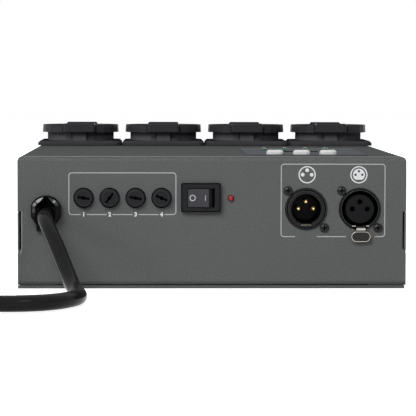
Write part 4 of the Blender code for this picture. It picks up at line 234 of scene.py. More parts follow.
# Rocker
SWITCH_X = -0.00605
SWITCH_HEIGHT = 0.04825
BEZEL_PROUD = 0.0020
BEZEL_CORNERS = ((-0.01055, -0.00755), (0.01050, 0.00790))
BEZEL_CORNER = 0.0008
BEZEL_GROOVE = 0.00003
BEZEL_STEPS = (  # inwards from the edge, above the solid bezel
    (0.0, 0.00015), (0.00008, 0.00030), (0.00020, 0.00030), (0.00023, BEZEL_GROOVE),
    (0.00063, BEZEL_GROOVE), (0.00066, 0.00038), (0.00075, 0.00045),
)
BEZEL_OPENING = (0.0146, 0.0102)
ROCKER_PIVOT_DEPTH = 0.0040
ROCKER_TILT = math.radians(12.0)
ROCKER_FACE_HALF = 0.00565
ROCKER_FACE_REACH = 0.0072
ROCKER_CREASE_REACH = 0.0069
MARK_STROKE = 0.00050
BAR_SHARE = 0.62
O_RADIUS = 0.00142
O_ALONG = -0.00300
I_ALONG = 0.00390
I_HALF = 0.0015

# Outlets, above the lid
FLANGE_TOP = 0.0031
LID_FOOT = 0.0081
OUTLET_ROUNDING = 0.00030

# Lamps
LAMP_RADIUS = 0.0015
LAMP_DOME = 0.0012
POWER_LAMP_X = 0.0098
POWER_LAMP_HEIGHT = 0.0480
POWER_LAMP_PROUD = 0.0018
POWER_LAMP_LENGTH = 0.0076
CHANNEL_LAMP_XS = (0.0314, 0.0432, 0.0549, 0.0664)
CHANNEL_LAMP_DEPTH = 0.0805
CHANNEL_LAMP_PROUD = 0.0021
CHANNEL_LAMP_LENGTH = 0.0115

# Data connectors; a groove is its outer, its inner and the painted highlight line's distance from
# the rim
XLR_IN_X = 0.0498
XLR_OUT_X = 0.0783
XLR_HEIGHT = 0.0423
XLR_RADIUS = 0.01095
XLR_PROUD = 0.0010
XLR_LENGTH = 0.0165
XLR_IN_BORE = 0.0079
XLR_IN_BORE_DEPTH = 0.0150
XLR_IN_GROOVE = (0.0005, 0.0012, 0.0014)
XLR_OUT_BORE = 0.0096
XLR_OUT_BORE_DEPTH = 0.0130
XLR_OUT_GROOVE = (0.00030, 0.00080, 0.00102)
GROOVE_DEPTH = 0.00060
KEY_ANGLE = math.radians(-38.0)
XLR_INSERT_RADIUS = 0.0077
XLR_INSERT_FACE = -0.0004
XLR_DISC_FACE = 0.0117
XLR_DISC_THICKNESS = 0.003
XLR_PIN_RADIUS = 0.0012
XLR_PIN_LENGTH = 0.0110
XLR_PIN_ROOT = 0.0055
XLR_PIN_NOSE = 1.7
XLR_HOLE_RADIUS = 0.00130
XLR_HOLE_DEPTH = 0.010
XLR_POLES = ((-0.0040, 0.0), (0.0, 0.0038), (0.0040, 0.0))
XLR_SCREW_OFFSETS = ((-0.0097, 0.0097), (0.0097, -0.0100))
PAN_HEAD_RADIUS = 0.0024
PAN_HEAD_HEIGHT = 0.0013
PAN_HEAD_STEPS = ((0.95, 0.42), (0.84, 0.62), (0.45, 0.95), (0.25, 1.0))  # shares
SCREW_SHANK = 0.0013
SCREW_LENGTH = 0.0055
CROSS_REACH = 0.00150
CROSS_WIDTH = 0.00062
CROSS_DEPTH = 0.0009
LATCH_X = 0.0788
LATCH_SLOT_WIDTH = 0.0098
LATCH_ARM_HEIGHT = 0.0330
LATCH_ARM_WIDTH = 0.0048
LATCH_ARM_THICKNESS = 0.0006
LATCH_PROUD = 0.0024
LATCH_DEPTH = 0.0060
TAB_WIDTH = 0.0102
TAB_HEIGHT = 0.0055
TAB_THICKNESS = 0.0009
TAB_CENTRE = 0.0277
TAB_RIM = 0.00035
TAB_ROUNDING = 0.00018
TAB_FIELD_DEPTH = 0.00022
LATCH_BAR_HEIGHT = 0.0317

# Printed marks on the panel
FRAME_STROKE = 0.00044
FUSE_FRAME = ((-0.0759, 0.0393), (-0.0193, 0.0614))
DATA_FRAME = ((0.0365, 0.0276), (0.0916, 0.0661))
FRAME_CORNER = 0.0016
DATA_BREAKS = ((0.0439, 0.0556), (0.0710, 0.0863))
NUMERAL_HEIGHT = 0.0022
NUMERAL_ROOM = 0.72
NUMERAL_SCALE = 1.42
NUMERAL_WEIGHT = 0.00013
SYMBOL_HEIGHT = 0.0605
SYMBOL_IN_X = 0.0502
SYMBOL_OUT_X = 0.0777
SYMBOL_RADIUS = 0.00427
SYMBOL_STROKE = 0.00060
SYMBOL_PINS = ((-0.0024, 0.0), (0.0, 0.0024), (0.0024, 0.0))
SYMBOL_HOLES = ((-0.0018, 0.0), (0.0, 0.0019), (0.0018, 0.0))

# Mains lead
CORD_DIAMETER = 0.0080
RELIEF_X = -0.0879
RELIEF_PROUD = 0.0050
CLAMP_SET = 0.0030
RELIEF_HALF_WIDTH = 0.0079
RELIEF_RADIUS = 0.0087
RELIEF_TOP = 0.0495
RELIEF_SHOULDER = 0.0382
RELIEF_BOTTOM = 0.0334
RELIEF_BOTTOM_HALF = 0.0046
RELIEF_FLOOR = 0.0004
MOUTH_HALF = 0.0054
MOUTH_BOTTOM = 0.0343
MOUTH_CORNER = 0.0024
MOUTH_APEX = 0.0488
APEX_HALF = 0.0011
CLAMP_TOP = 0.0433
RELIEF_RIM = 0.0012
RELIEF_TAB = ((-0.0051, 0.0306, GAP), (-0.0019, 0.0345, RELIEF_PROUD / 2))
BARREL_RADIUS = 0.0062
BARREL_LENGTH = 0.0130
CORD_EXIT_HEIGHT = 0.0391
LAYER_STEP = 0.0086
COIL_X = -0.1745
COIL_DISTANCE = 0.0545
COIL_MEAN_RADIUS = 0.0480
COIL_TURNS = 4.25
COIL_POINTS = 40
ROUTE_STEP = 0.004
TIE_THICKNESS = 0.0010
PLUG_RADIUS = 0.0184
PLUG_FACE_LENGTH = 0.0150
PLUG_LENGTH = 0.0400
PLUG_NECK_RADIUS = 0.0062
PLUG_NECK_SWELL = 0.0014
PLUG_RIBS = 5
PLUG_LEAD = 0.0400
PLUG_NOTCH_DEPTH = 0.0030
PLUG_SEAT_DEPTH = 0.0014
PLUG_STRIP_DEPTH = 0.0004
PLUG_STRIP_THICKNESS = 0.0008
PLUG_PIN_RADIUS = 0.0024
PLUG_PIN_LENGTH = 0.0190
PLUG_PIN_SPACING = 0.019
COIL_BASE = TIE_THICKNESS + GAP + CORD_DIAMETER / 2

LEAD_ROUTE = (  # x, distance before the panel, z
    (-0.0879, 0.0123, 0.0391),
    (-0.0877, 0.0180, 0.0385),
    (-0.0862, 0.0240, 0.0362),
    (-0.0842, 0.0295, 0.0327),
    (-0.0815, 0.0350, 0.0277),
    (-0.0788, 0.0400, 0.0224),
    (-0.0763, 0.0450, 0.0171),
    (-0.0738, 0.0505, 0.0121),
    (-0.0715, 0.0570, 0.0079),
    (-0.0692, 0.0640, 0.0053),
    (-0.0678, 0.0710, 0.0045),
    (-0.0675, 0.0790, 0.0044),
    (-0.0698, 0.0880, 0.0044),
    (-0.0752, 0.0975, 0.0044),
    (-0.0830, 0.1055, 0.0045),
    (-0.0930, 0.1108, 0.0047),
    (-0.1045, 0.1130, 0.0049),
    (-0.1180, 0.1133, 0.0051),
    (-0.1330, 0.1129, 0.0052),
)

FACING_FRONT = (math.pi / 2, 0.0, 0.0)
FACING_BACK = (-math.pi / 2, 0.0, 0.0)
FACING_UP = (0.0, 0.0, 0.0)


def at(x, depth, z):
    return Vector((x, PANEL_Y + depth, z))


# Camera, lights and floor


def show(thing):
    bpy.context.scene.collection.objects.link(thing)
    return thing


def make_camera():
    data = bpy.data.cameras.new("camera")
    data.lens = CAMERA_LENS
    data.sensor_width = 36.0
    data.clip_end = 20.0
    camera = show(bpy.data.objects.new("camera", data))
    camera.location = CAMERA_PLACE
    aim = Euler((math.pi / 2 - CAMERA_PITCH, 0.0, -CAMERA_YAW)).to_matrix()
    camera.rotation_euler = (aim @ Matrix.Rotation(CAMERA_ROLL, 3, "Z")).to_euler()
    bpy.context.scene.camera = camera


def make_lamp(name, place, aim, size, energy):
    data = bpy.data.lights.new(name, "AREA")
    data.shape = "RECTANGLE"
    data.size, data.size_y = size
    data.energy = energy
    lamp = show(bpy.data.objects.new(name, data))
    lamp.location = place
    lamp.rotation_euler = (Vector(aim) - Vector(place)).to_track_quat("-Z", "Y").to_euler()


def put(node, **inputs):
    """Sets a shader node's sockets, with underscores for the spaces in their names."""
    for name, value in inputs.items():
        node.inputs[name.replace("_", " ")].default_value = value
    return node


def add(tree, kind, **inputs):
    return put(tree.nodes.new(kind), **inputs)


def link(tree, *pairs):
    for source, target in pairs:
        tree.links.new(source, target)


def through(tree, kind, source, socket, output, **inputs):
    """One output of a new node that is fed by a source at one of its sockets."""
    node = add(tree, f"ShaderNode{kind}", **inputs)
    link(tree, (source, node.inputs[socket]))
    return node.outputs[output]


def mixed(tree, share, low, high):
    """Two colours, each a value or a source, mixed by a share."""
    mix = add(tree, "ShaderNodeMix")
    mix.data_type = "RGBA"
    link(tree, (share, mix.inputs[0]))
    for socket, colour in ((mix.inputs[6], low), (mix.inputs[7], high)):
        if isinstance(colour, tuple):
            socket.default_value = colour
        else:
            link(tree, (colour, socket))
    return mix.outputs[2]


def seen_rays(tree):
    """One where the camera, a gloss or a glass looks, and nought for plain light."""
    ray = add(tree, "ShaderNodeLightPath")
    result = ray.outputs["Is Camera Ray"]
    for other in ("Is Glossy Ray", "Is Transmission Ray"):
        either = add(tree, "ShaderNodeMath")
        either.operation = "MAXIMUM"
        link(tree, (result, either.inputs[0]), (ray.outputs[other], either.inputs[1]))
        result = either.outputs[0]
    return result


def make_world():
    """A soft grey light on the object, and plain white wherever the camera or a gloss sees it."""
    world = bpy.data.worlds.new("studio")
    bpy.context.scene.world = world
    world.use_nodes = True
    tree = world.node_tree
    tree.nodes.clear()
    out = add(tree, "ShaderNodeOutputWorld")
    light = add(tree, "ShaderNodeBackground", Color=WHITE, Strength=WORLD_STRENGTH)
    white = add(tree, "ShaderNodeBackground", Color=WHITE, Strength=1.0)
    mix = add(tree, "ShaderNodeMixShader")
    link(
        tree,
        (seen_rays(tree), mix.inputs[0]),
        (light.outputs[0], mix.inputs[1]),
        (white.outputs[0], mix.inputs[2]),
        (mix.outputs[0], out.inputs[0]),
    )


def make_floor():
    """A wide pale floor that keeps the object's shadow and fades to white."""
    shape = bmesh.new()
    bmesh.ops.create_grid(shape, x_segments=1, y_segments=1, size=FLOOR_SIZE)
    floor = show(bpy.data.objects.new("floor", settled("floor", shape)))
    floor.location = (0.0, 0.0, -FLOOR_DROP)
    look = bpy.data.materials.new("floor_white")
    look.use_nodes = True
    tree = look.node_tree
    shader = tree.nodes["Principled BSDF"]
    put(shader, Base_Color=(0.80, 0.80, 0.80, 1.0), Roughness=0.9, Specular_IOR_Level=0.0)
    bright = add(tree, "ShaderNodeEmission", Color=WHITE)
    lift = add(tree, "ShaderNodeMath")
    lift.operation = "MULTIPLY"
    lift.inputs[1].default_value = FLOOR_LIFT
    both = add(tree, "ShaderNodeAddShader")
    link(
        tree,
        (seen_rays(tree), lift.inputs[0]),
        (lift.outputs[0], bright.inputs["Strength"]),
        (shader.outputs[0], both.inputs[0]),
        (bright.outputs[0], both.inputs[1]),
        (both.outputs[0], tree.nodes["Material Output"].inputs["Surface"]),
    )
    floor.data.materials.append(look)


# Materials


def shades(colour, spread):
    """Two shades round a colour, for a slow variation over a surface."""
    return [(*[min(1.0, c * k) for c in colour], 1.0) for k in (1 - spread, 1 + spread)]


def finish(name):
    """A look from the table: colour and gloss vary slowly, with a fine grain in the relief."""
    found = bpy.data.materials.get(name)
    if found:
        return found
    row = LOOKS[name]
    colour, gloss, bump, spread, specular, patch, grain = row + USUAL_LOOK[len(row) :]
    look = bpy.data.materials.new(name)
    look.use_nodes = True
    tree = look.node_tree
    shader = tree.nodes["Principled BSDF"]
    put(shader, Specular_IOR_Level=specular, IOR=1.5, **OTHER_SOCKETS.get(name, {}))
    noise = ("TexNoise", add(tree, "ShaderNodeTexCoord").outputs["Object"], "Vector", "Fac")
    slow = through(tree, *noise, Scale=patch, Detail=4.0, Roughness=0.6)
    fine = through(tree, *noise, Scale=grain, Detail=2.0, Roughness=0.5)
    low, high = gloss
    rough = through(tree, "MapRange", fine, "Value", "Result", To_Min=low, To_Max=high)
    relief = through(tree, "Bump", fine, "Height", "Normal", Strength=bump, Distance=GRAIN_DEPTH)
    link(
        tree,
        (mixed(tree, slow, *shades(colour, spread)), shader.inputs["Base Color"]),
        (rough, shader.inputs["Roughness"]),
        (relief, shader.inputs["Normal"]),
    )
    return look


def powder_coat(name, painted_bottom_shade=False):
    """Textured powder coat: fine pits and a lighter speckle, and painted shade near the bottom if
    asked.
    """
    tree = finish(name).node_tree
    target = tree.nodes["Principled BSDF"].inputs["Base Color"]
    tinted = target.links[0].from_socket
    where = next(n for n in tree.nodes if n.type == "TEX_COORD").outputs["Object"]
    speckle = through(tree, "TexNoise", where, "Vector", "Fac", Scale=SPECKLE_SCALE, Detail=2.0)
    low, high = SPECKLE_RANGE
    some = {"From_Min": low, "From_Max": high, "To_Max": SPECKLE_SHARE}
    share = through(tree, "MapRange", speckle, "Value", "Result", **some)
    bright = (*[c * SPECKLE_GAIN for c in LOOKS[name][0]], 1.0)
    coat = mixed(tree, share, tinted, bright)
    # Painted shade: the coat grows darker towards the bottom of the sheet.
    if painted_bottom_shade:
        low, high = BOTTOM_SHADE_RANGE
        some = {"From_Min": low, "From_Max": high, "To_Min": BOTTOM_SHADE_LEVEL}
        level = through(tree, "SeparateXYZ", where, "Vector", "Z")
        shade = through(tree, "MapRange", level, "Value", "Result", **some)
        darker = add(tree, "ShaderNodeVectorMath")
        darker.operation = "SCALE"
        link(tree, (coat, darker.inputs[0]), (shade, darker.inputs["Scale"]))
        coat = darker.outputs["Vector"]
    link(tree, (coat, target))


def dress(nodes, look, rounding=0.0, angle=35.0):
    """Gives CAD nodes their look and, where asked, small rounded edges."""
    for node in nodes:
        thing = NODES[node]
        thing.data.materials.clear()
        thing.data.materials.append(finish(look))
        smoothed(thing.data, angle)
        if rounding:
            ease_edges(thing, rounding, angle, harden_normals=True, use_clamp_overlap=True)


def paint(mesh, looks, choose):
    """Gives a mesh its looks, and each face the one whose number choose(centre, normal) is."""
    for look in looks:
        mesh.materials.append(finish(look))
    for face in mesh.polygons:
        face.material_index = choose(face.center, face.normal)


# Shapes


def placed(name, mesh, look, place, slot=None, node=None, body="root", facing=FACING_FRONT):
    """Sets a mesh in the scene, on its body and in place of the CAD node that it stands for."""
    thing = show(bpy.data.objects.new(name, mesh))
    thing.location = place
    thing.rotation_euler = facing
    if look:
        mesh.materials.clear()
        mesh.materials.append(finish(look))
    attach(thing, body)
    if node:
        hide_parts(node)
    return thing


def smoothed(mesh, angle):
    """Smooth shading, but for the edges that are sharper than an angle in degrees."""
    mesh.shade_smooth()
    mesh.set_sharp_from_angle(angle=math.radians(angle))
    return mesh


def settled(name, shape):
    mesh = bpy.data.meshes.new(name)
    shape.to_mesh(mesh)
    shape.free()
    return mesh


def ease_edges(thing, width, angle, **more):
    step = thing.modifiers.new("edges", "BEVEL")
    step.width = width
    step.segments = 2
    step.limit_method = "ANGLE"
    step.angle_limit = math.radians(angle)
    for name, value in more.items():
        setattr(step, name, value)


def skin(name, rings, wrap=False):
    """A closed body over rings of points. A ring of one point is a pole; wrap joins the ends."""
    shape = bmesh.new()
    rows = [[shape.verts.new(point) for point in ring] for ring in rings]
    count = max(len(row) for row in rows)
    pairs = list(zip(rows, rows[1:]))
    if wrap:
        pairs.append((rows[-1], rows[0]))
    for row, after in pairs:
        m, n = len(row), len(after)
        for i in range(count):
            j = (i + 1) % count
            corners = dict.fromkeys((row[i % m], row[j % m], after[j % n], after[i % n]))
            if len(corners) > 2:
                shape.faces.new(list(corners))
    if not wrap and len(rows[0]) > 2:
        shape.faces.new(rows[0][::-1])
        shape.faces.new(rows[-1])
    bmesh.ops.recalc_face_normals(shape, faces=shape.faces)
    return settled(name, shape)


def lathe_mesh(name, profile, sides=FINE_SIDES):
    """A turned body from a profile of radius and height, closed from its ends to the axis."""
    rings = []
    ends = [(0.0, height) for radius, height in (profile[0], profile[-1])]
    closed = [ends[0], *profile, ends[1]] if profile[-1][0] > TINY else [ends[0], *profile]
    for radius, height in closed:
        ring = ring_of((0, 0), radius, sides if radius > TINY else 1)
        rings.append([(x, y, height) for x, y in ring])
    return smoothed(skin(name, rings), 32.0)


def rod_mesh(name, radius, low, high, place=(0.0, 0.0)):
    """A plain cylinder along z, mostly a cutter."""
    return moved(lathe_mesh(name, [(radius, low), (radius, high)], 40), (*place, 0.0))


def inset(outline, amount):
    """A convex, counter-clockwise outline moved inwards by an even amount."""
    points = [Vector(point) for point in outline]
    result = []
    for i, point in enumerate(points):
        into = (point - points[i - 1]).normalized()
        out = (points[(i + 1) % len(points)] - point).normalized()
        run = (into + out).normalized()
        inward = Vector((-run.y, run.x))
        result.append(point + inward * amount / max(0.4, run.dot(out)))
    return result


def stacked_mesh(name, outline, rows):
    """A closed body whose convex outline is moved inwards by each row's amount at its level."""
    rings = [[(p.x, p.y, level) for p in inset(outline, amount)] for amount, level in rows]
    return smoothed(skin(name, rings), 40.0)


def oval(width, height, steps=12):
    """The outline of a bar with round ends."""
    r = height / 2
    reach = width / 2 - r
    return arc((reach, 0), r, -90, 90, steps) + arc((-reach, 0), r, 90, 270, steps)


def box_mesh(name, low, high, rounded=0.0):
    """A box between two corners, with small rounded edges where asked."""
    shape = bmesh.new()
    low, high = Vector(low), Vector(high)
    matrix = Matrix.Translation((high + low) / 2) @ Matrix.Diagonal((*(high - low), 1.0))
    bmesh.ops.create_cube(shape, size=1.0, matrix=matrix)
    if rounded:
        how = {"offset_type": "OFFSET", "segments": 2, "profile": 0.5, "affect": "EDGES"}
        bmesh.ops.bevel(shape, geom=shape.edges[:], offset=rounded, **how)
    return smoothed(settled(name, shape), 40.0)


def carved(name, mesh, cutters, unions=(), edge=0.0, crisp=32.0):
    """A mesh with other meshes cut away or joined, and its edges eased."""
    thing = show(bpy.data.objects.new(name, mesh))
    helpers = []
    for operation, others in (("UNION", unions), ("DIFFERENCE", cutters)):
        for other in others:
            step = thing.modifiers.new("carve", "BOOLEAN")
            step.operation = operation
            step.solver = "EXACT"
            step.object = show(bpy.data.objects.new(operation, other))
            helpers.append(step.object)
    if edge:
        ease_edges(thing, edge, 40.0)
    made = evaluated(thing)
    for helper in helpers:
        bpy.data.objects.remove(helper, do_unlink=True)
    return smoothed(made, crisp)


def evaluated(thing):
    """The mesh that an object comes to with its modifiers; the object goes."""
    bpy.context.view_layer.update()
    seen = thing.evaluated_get(bpy.context.evaluated_depsgraph_get())
    mesh = bpy.data.meshes.new_from_object(seen)
    bpy.data.objects.remove(thing, do_unlink=True)
    return mesh


def moved(mesh, offset):
    mesh.transform(Matrix.Translation(offset))
    return mesh


def arc(centre, radius, start, end, steps):
    """Points on an arc, both ends included, angles in degrees."""
    points = []
    for i in range(steps + 1):
        angle = math.radians(start + (end - start) * i / steps)
        points.append((centre[0] + radius * math.cos(angle), centre[1] + radius * math.sin(angle)))
    return points


def mirrored(*points):
    """An even outline from the points of its right half, upwards."""
    return [*points, *((-x, y) for x, y in reversed(points))]


def ring_of(centre, radius, steps):
    return arc(centre, radius, 0, 360, steps)[:-1]


def band(name, points, width, look, place, closed=False, matrix=None, **more):
    """A printed line of even width along flat points, a few hundredths of a millimetre thick."""
    path = [Vector(point) for point in points]
    rows = []
    for i, point in enumerate(path):
        before = path[i - 1] if closed or i else 2 * point - path[1]
        last = i == len(path) - 1
        after = 2 * point - path[-2] if last and not closed else path[(i + 1) % len(path)]
        out = (after - point).normalized()
        run = ((point - before).normalized() + out).normalized()
        aside = Vector((-run.y, run.x)) * width / 2 / max(0.5, run.dot(out))
        corners = ((1, 0.0), (-1, 0.0), (-1, INK), (1, INK))
        rows.append([(*(point + aside * side), lift) for side, lift in corners])
    mesh = skin(name, rows, closed)
    if matrix:
        mesh.transform(matrix)
    return placed(name, mesh, look, place, **more)


def disc(name, outline, look, place):
    """A printed patch with a flat outline."""
    mesh = skin(name, [[(x, y, level) for x, y in outline] for level in (0.0, INK)])
    return placed(name, mesh, look, place)


def rounded_frame(low, high, corner):
    """The closed outline of a frame with rounded corners, from its lower right going round."""
    (x0, y0), (x1, y1) = low, high
    points = []
    for x, y, start in ((x1, y0, -90), (x1, y1, 0), (x0, y1, 90), (x0, y0, 180)):
        centre = (x - corner if x == x1 else x + corner, y - corner if y == y1 else y + corner)
        points += arc(centre, corner, start, start + 90, 6)
    return points


# Mains lead


def smooth_route(route, step):
    """Points a step apart along the smooth curve through a route's points."""
    knots = np.array(route, float)
    padded = np.vstack([2 * knots[0] - knots[1], knots, 2 * knots[-1] - knots[-2]])
    fine = []
    for i in range(1, len(padded) - 2):
        before, start, end, after = padded[i - 1 : i + 3]
        square = 2 * before - 5 * start + 4 * end - after
        cube = 3 * start - before - 3 * end + after
        for t in np.linspace(0, 1, 16, endpoint=False):
            fine.append(0.5 * (2 * start + (end - before) * t + square * t**2 + cube * t**3))
    fine.append(padded[-2])
    fine = np.array(fine)
    along = np.concatenate([[0], np.cumsum(np.linalg.norm(np.diff(fine, axis=0), axis=1))])
    where = np.linspace(0, along[-1], max(2, round(along[-1] / step) + 1))
    return np.stack([np.interp(where, along, fine[:, k]) for k in range(3)], axis=1)


def coil_radius(turn):
    middle = COIL_TURNS / 2
    outer = COIL_MEAN_RADIUS + LAYER_STEP * middle / 2
    return outer - LAYER_STEP * (middle - abs(turn - middle))


def coil_place(turn):
    climb = min(max((turn - COIL_TURNS / 2 + 0.25) / 0.5, 0.0), 1.0)
    angle = 2 * math.pi * turn
    return (
        COIL_X - coil_radius(turn) * math.sin(angle),
        PANEL_Y - COIL_DISTANCE - coil_radius(turn) * math.cos(angle),
        COIL_BASE + LAYER_STEP * climb,
    )


def lead_points():
    """The whole lead: out of the strain relief, over the floor, round the coil, to the plug."""
    clamp = RELIEF_PROUD - CLAMP_SET + GAP
    start = (RELIEF_X, clamp, CORD_EXIT_HEIGHT)
    straight = (RELIEF_X, clamp + CORD_DIAMETER, CORD_EXIT_HEIGHT)
    end_x = COIL_X + CORD_DIAMETER + GAP
    distance = COIL_DISTANCE + coil_radius(0.0)
    run_in = (end_x + CORD_DIAMETER, distance, COIL_BASE)
    end = (end_x, distance, COIL_BASE)
    route = (start, straight, *LEAD_ROUTE, run_in, end)
    stretch = smooth_route([(x, PANEL_Y - out, z) for x, out, z in route], ROUTE_STEP)
    count = round(COIL_TURNS * COIL_POINTS)
    coil = [coil_place(COIL_TURNS * i / count) for i in range(count + 1)]
    x, y, z = coil[-1]
    tail = []
    for share in (i / 10 for i in range(1, 11)):
        ease = share * share * (3 - 2 * share)
        run = (PLUG_LEAD - CORD_DIAMETER) * share
        tail.append((x, y + run, z + (PLUG_RADIUS - z) * ease))
    tail.append((x, y + PLUG_LEAD, PLUG_RADIUS))
    return [tuple(point) for point in stretch] + coil + tail


def make_lead():
    points = lead_points()
    curve = bpy.data.curves.new("mains_lead", "CURVE")
    curve.dimensions = "3D"
    curve.bevel_depth = CORD_DIAMETER / 2
    curve.bevel_resolution = 6
    curve.use_fill_caps = True
    spline = curve.splines.new("POLY")
    spline.points.add(len(points) - 1)
    for point, place in zip(spline.points, points):
        point.co = (*place, 1.0)
    spline.use_smooth = True
    curve.materials.append(finish("cord_sheath"))
    lead = show(bpy.data.objects.new("mains_lead", curve))
    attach(lead, "root")
    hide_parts("mains_cable", "mains_coil")
    length = sum((Vector(b) - Vector(a)).length for a, b in zip(points, points[1:]))
    return lead, points[0], length


def plug_profile():
    """The moulded plug's half section: neck with ribs, swelling grip and round face."""
    grip = PLUG_LENGTH - PLUG_FACE_LENGTH
    neck = PLUG_NECK_RADIUS
    profile = [(neck - 0.0006, 0.0), (neck, 0.0006)]
    for i in range(PLUG_RIBS):
        low = 0.0016 + 0.0020 * i
        crest = neck + PLUG_NECK_SWELL * i / (PLUG_RIBS - 1)
        waist = crest - 0.0007
        profile += [(crest, low), (waist, low + 0.0003)]
        profile += [(waist, low + 0.0010), (crest, low + 0.0013)]
    for share in (0.50, 0.62, 0.74, 0.86, 0.94, 1.0):
        bulge = math.sin((share - 0.44) / 0.56 * math.pi / 2)
        radius = neck + PLUG_NECK_SWELL + (PLUG_RADIUS - neck - 0.0018) * bulge
        profile.append((radius, grip * share))
    return profile + [
        (PLUG_RADIUS - 0.0003, grip + 0.0004),
        (PLUG_RADIUS, grip + 0.0010),
        (PLUG_RADIUS, PLUG_LENGTH - 0.0010),
        (PLUG_RADIUS - 0.0003, PLUG_LENGTH - 0.0003),
        (PLUG_RADIUS - 0.0010, PLUG_LENGTH),
    ]


def beside(side, a, b):
    """The lower and the upper end of a stretch on one side of the middle."""
    return sorted((side * a, side * b))


def make_plug():
    """The plug with side notches, two pins and an earth strip on each side."""
    x, y, z = lead_points()[-1]
    place = Vector((x, y + GAP, z))
    grip = PLUG_LENGTH - PLUG_FACE_LENGTH
    beyond = PLUG_RADIUS + 0.003
    end = PLUG_LENGTH + CLEAR
    cutters = []
    for side in (-1, 1):
        near, far = beside(side, PLUG_RADIUS - PLUG_NOTCH_DEPTH, beyond)
        cutters.append(box_mesh("notch", (-0.003, near, grip + GAP), (0.003, far, end)))
        near, far = beside(side, PLUG_RADIUS - PLUG_SEAT_DEPTH, beyond)
        cutters.append(box_mesh("seat", (near, -0.0023, grip + 0.0012), (far, 0.0023, end)))
    body = lathe_mesh("plug_body", plug_profile(), 72)
    mesh = carved("mains_plug_body", body, cutters, edge=0.0002)
    rear = {"slot": "plug_black", "facing": FACING_BACK}
    made = [placed("mains_plug_body", mesh, "plug_rubber", place, node="mains_plug", **rear)]
    r, tip = PLUG_PIN_RADIUS, PLUG_PIN_LENGTH
    pin = [(r, 0.0), (r, tip - 0.0014), (r - 0.0004, tip - 0.0005), (r - 0.0013, tip)]
    for i, side in enumerate((-1, 1)):
        mesh = lathe_mesh("plug_pin", pin, 32)
        spot = place + Vector((0.0, PLUG_LENGTH, side * PLUG_PIN_SPACING / 2))
        made.append(placed(f"plug_pin_{i + 1}", mesh, "pin_nickel", spot, **rear))
        outer = PLUG_RADIUS - PLUG_STRIP_DEPTH
        near, far = beside(side, outer - PLUG_STRIP_THICKNESS, outer)
        corners = (near, grip + 0.0018, -0.0019), (far, PLUG_LENGTH - 0.0004, 0.0019)
        strip = box_mesh("strip", *corners, 0.00025)
        name = f"plug_earth_{i + 1}"
        made.append(placed(name, strip, "pin_nickel", place, "plug_black", facing=FACING_UP))
    return made


def make_relief():
    """The bushing in the panel: a domed head with a sloping rim, a roof-shaped mouth, a clamp."""
    flat = math.degrees(math.acos(RELIEF_HALF_WIDTH / RELIEF_RADIUS))
    outline = arc((0.0, RELIEF_TOP - RELIEF_RADIUS), RELIEF_RADIUS, flat, 180.0 - flat, 28)
    outline += [(-RELIEF_HALF_WIDTH, RELIEF_SHOULDER), (-RELIEF_BOTTOM_HALF, RELIEF_BOTTOM)]
    outline += [(RELIEF_BOTTOM_HALF, RELIEF_BOTTOM), (RELIEF_HALF_WIDTH, RELIEF_SHOULDER)]
    top = RELIEF_PROUD
    rim = top - RELIEF_RIM
    rows = [(0.0, GAP), (0.0, rim - 0.0002), (0.0001, rim), (0.0007, rim)]
    rows += [(0.0008, rim + 0.0005), (0.0023, top)]
    half = MOUTH_HALF
    apex = APEX_HALF
    roof = mirrored((half, CLAMP_TOP), (apex, MOUTH_APEX))
    cut = MOUTH_CORNER
    low = MOUTH_BOTTOM
    clamp = mirrored((half - cut, low), (half, low + cut), (half, CLAMP_TOP))
    past = top + CLEAR
    exit_place = (0.0, CORD_EXIT_HEIGHT)
    cutters = [
        stacked_mesh("roof", roof, [(0.0, RELIEF_FLOOR), (0.0, past)]),
        stacked_mesh("clamp", clamp, [(0.0, top - CLAMP_SET), (0.0, past)]),
        rod_mesh("arch", CORD_DIAMETER / 2 + 0.0008, RELIEF_FLOOR, past, exit_place),
    ]
    head = stacked_mesh("relief_head", outline, rows)
    mesh = carved("relief", head, cutters, [box_mesh("tab", *RELIEF_TAB, 0.0003)], crisp=15.0)
    bend = RELIEF_TOP - RELIEF_RADIUS * (1.0 - math.sin(math.radians(flat)))

    # Painted light: deep faces in the mouth are black as shade, the clamp's ledge is a lighter
    # grey, and the rim's slope on the left and over the top gets the glossier copy for its
    # highlights.
    def choose(spot, normal):
        inside = abs(spot.x) < half + NEAR and low < spot.y < MOUTH_APEX + NEAR
        ledge = abs(spot.z - top + CLAMP_SET) < GAP and normal.z > 0.9
        if inside and (ledge or spot.z < top - 0.0008):
            return 3 if ledge else 1
        polished = spot.y > (RELIEF_SHOULDER if spot.x < 0 else bend)
        return 2 if polished and spot.z > rim and FORWARD < normal.z < 0.95 else 0

    paint(mesh, ("relief_nylon", "painted_shade_black", "relief_painted_sheen", "relief_ledge_painted_light"), choose)
    placed("relief_head", mesh, None, at(RELIEF_X, 0, 0), "relief_black", "strain_relief")
    # The barrel behind the panel is painted black as shade.
    barrel = rod_mesh("relief_barrel", BARREL_RADIUS, -BARREL_LENGTH, GAP / 2)
    spot = at(RELIEF_X, 0, CORD_EXIT_HEIGHT)
    placed("relief_barrel", barrel, "painted_shade_black", spot, "relief_black")


# Connector panel


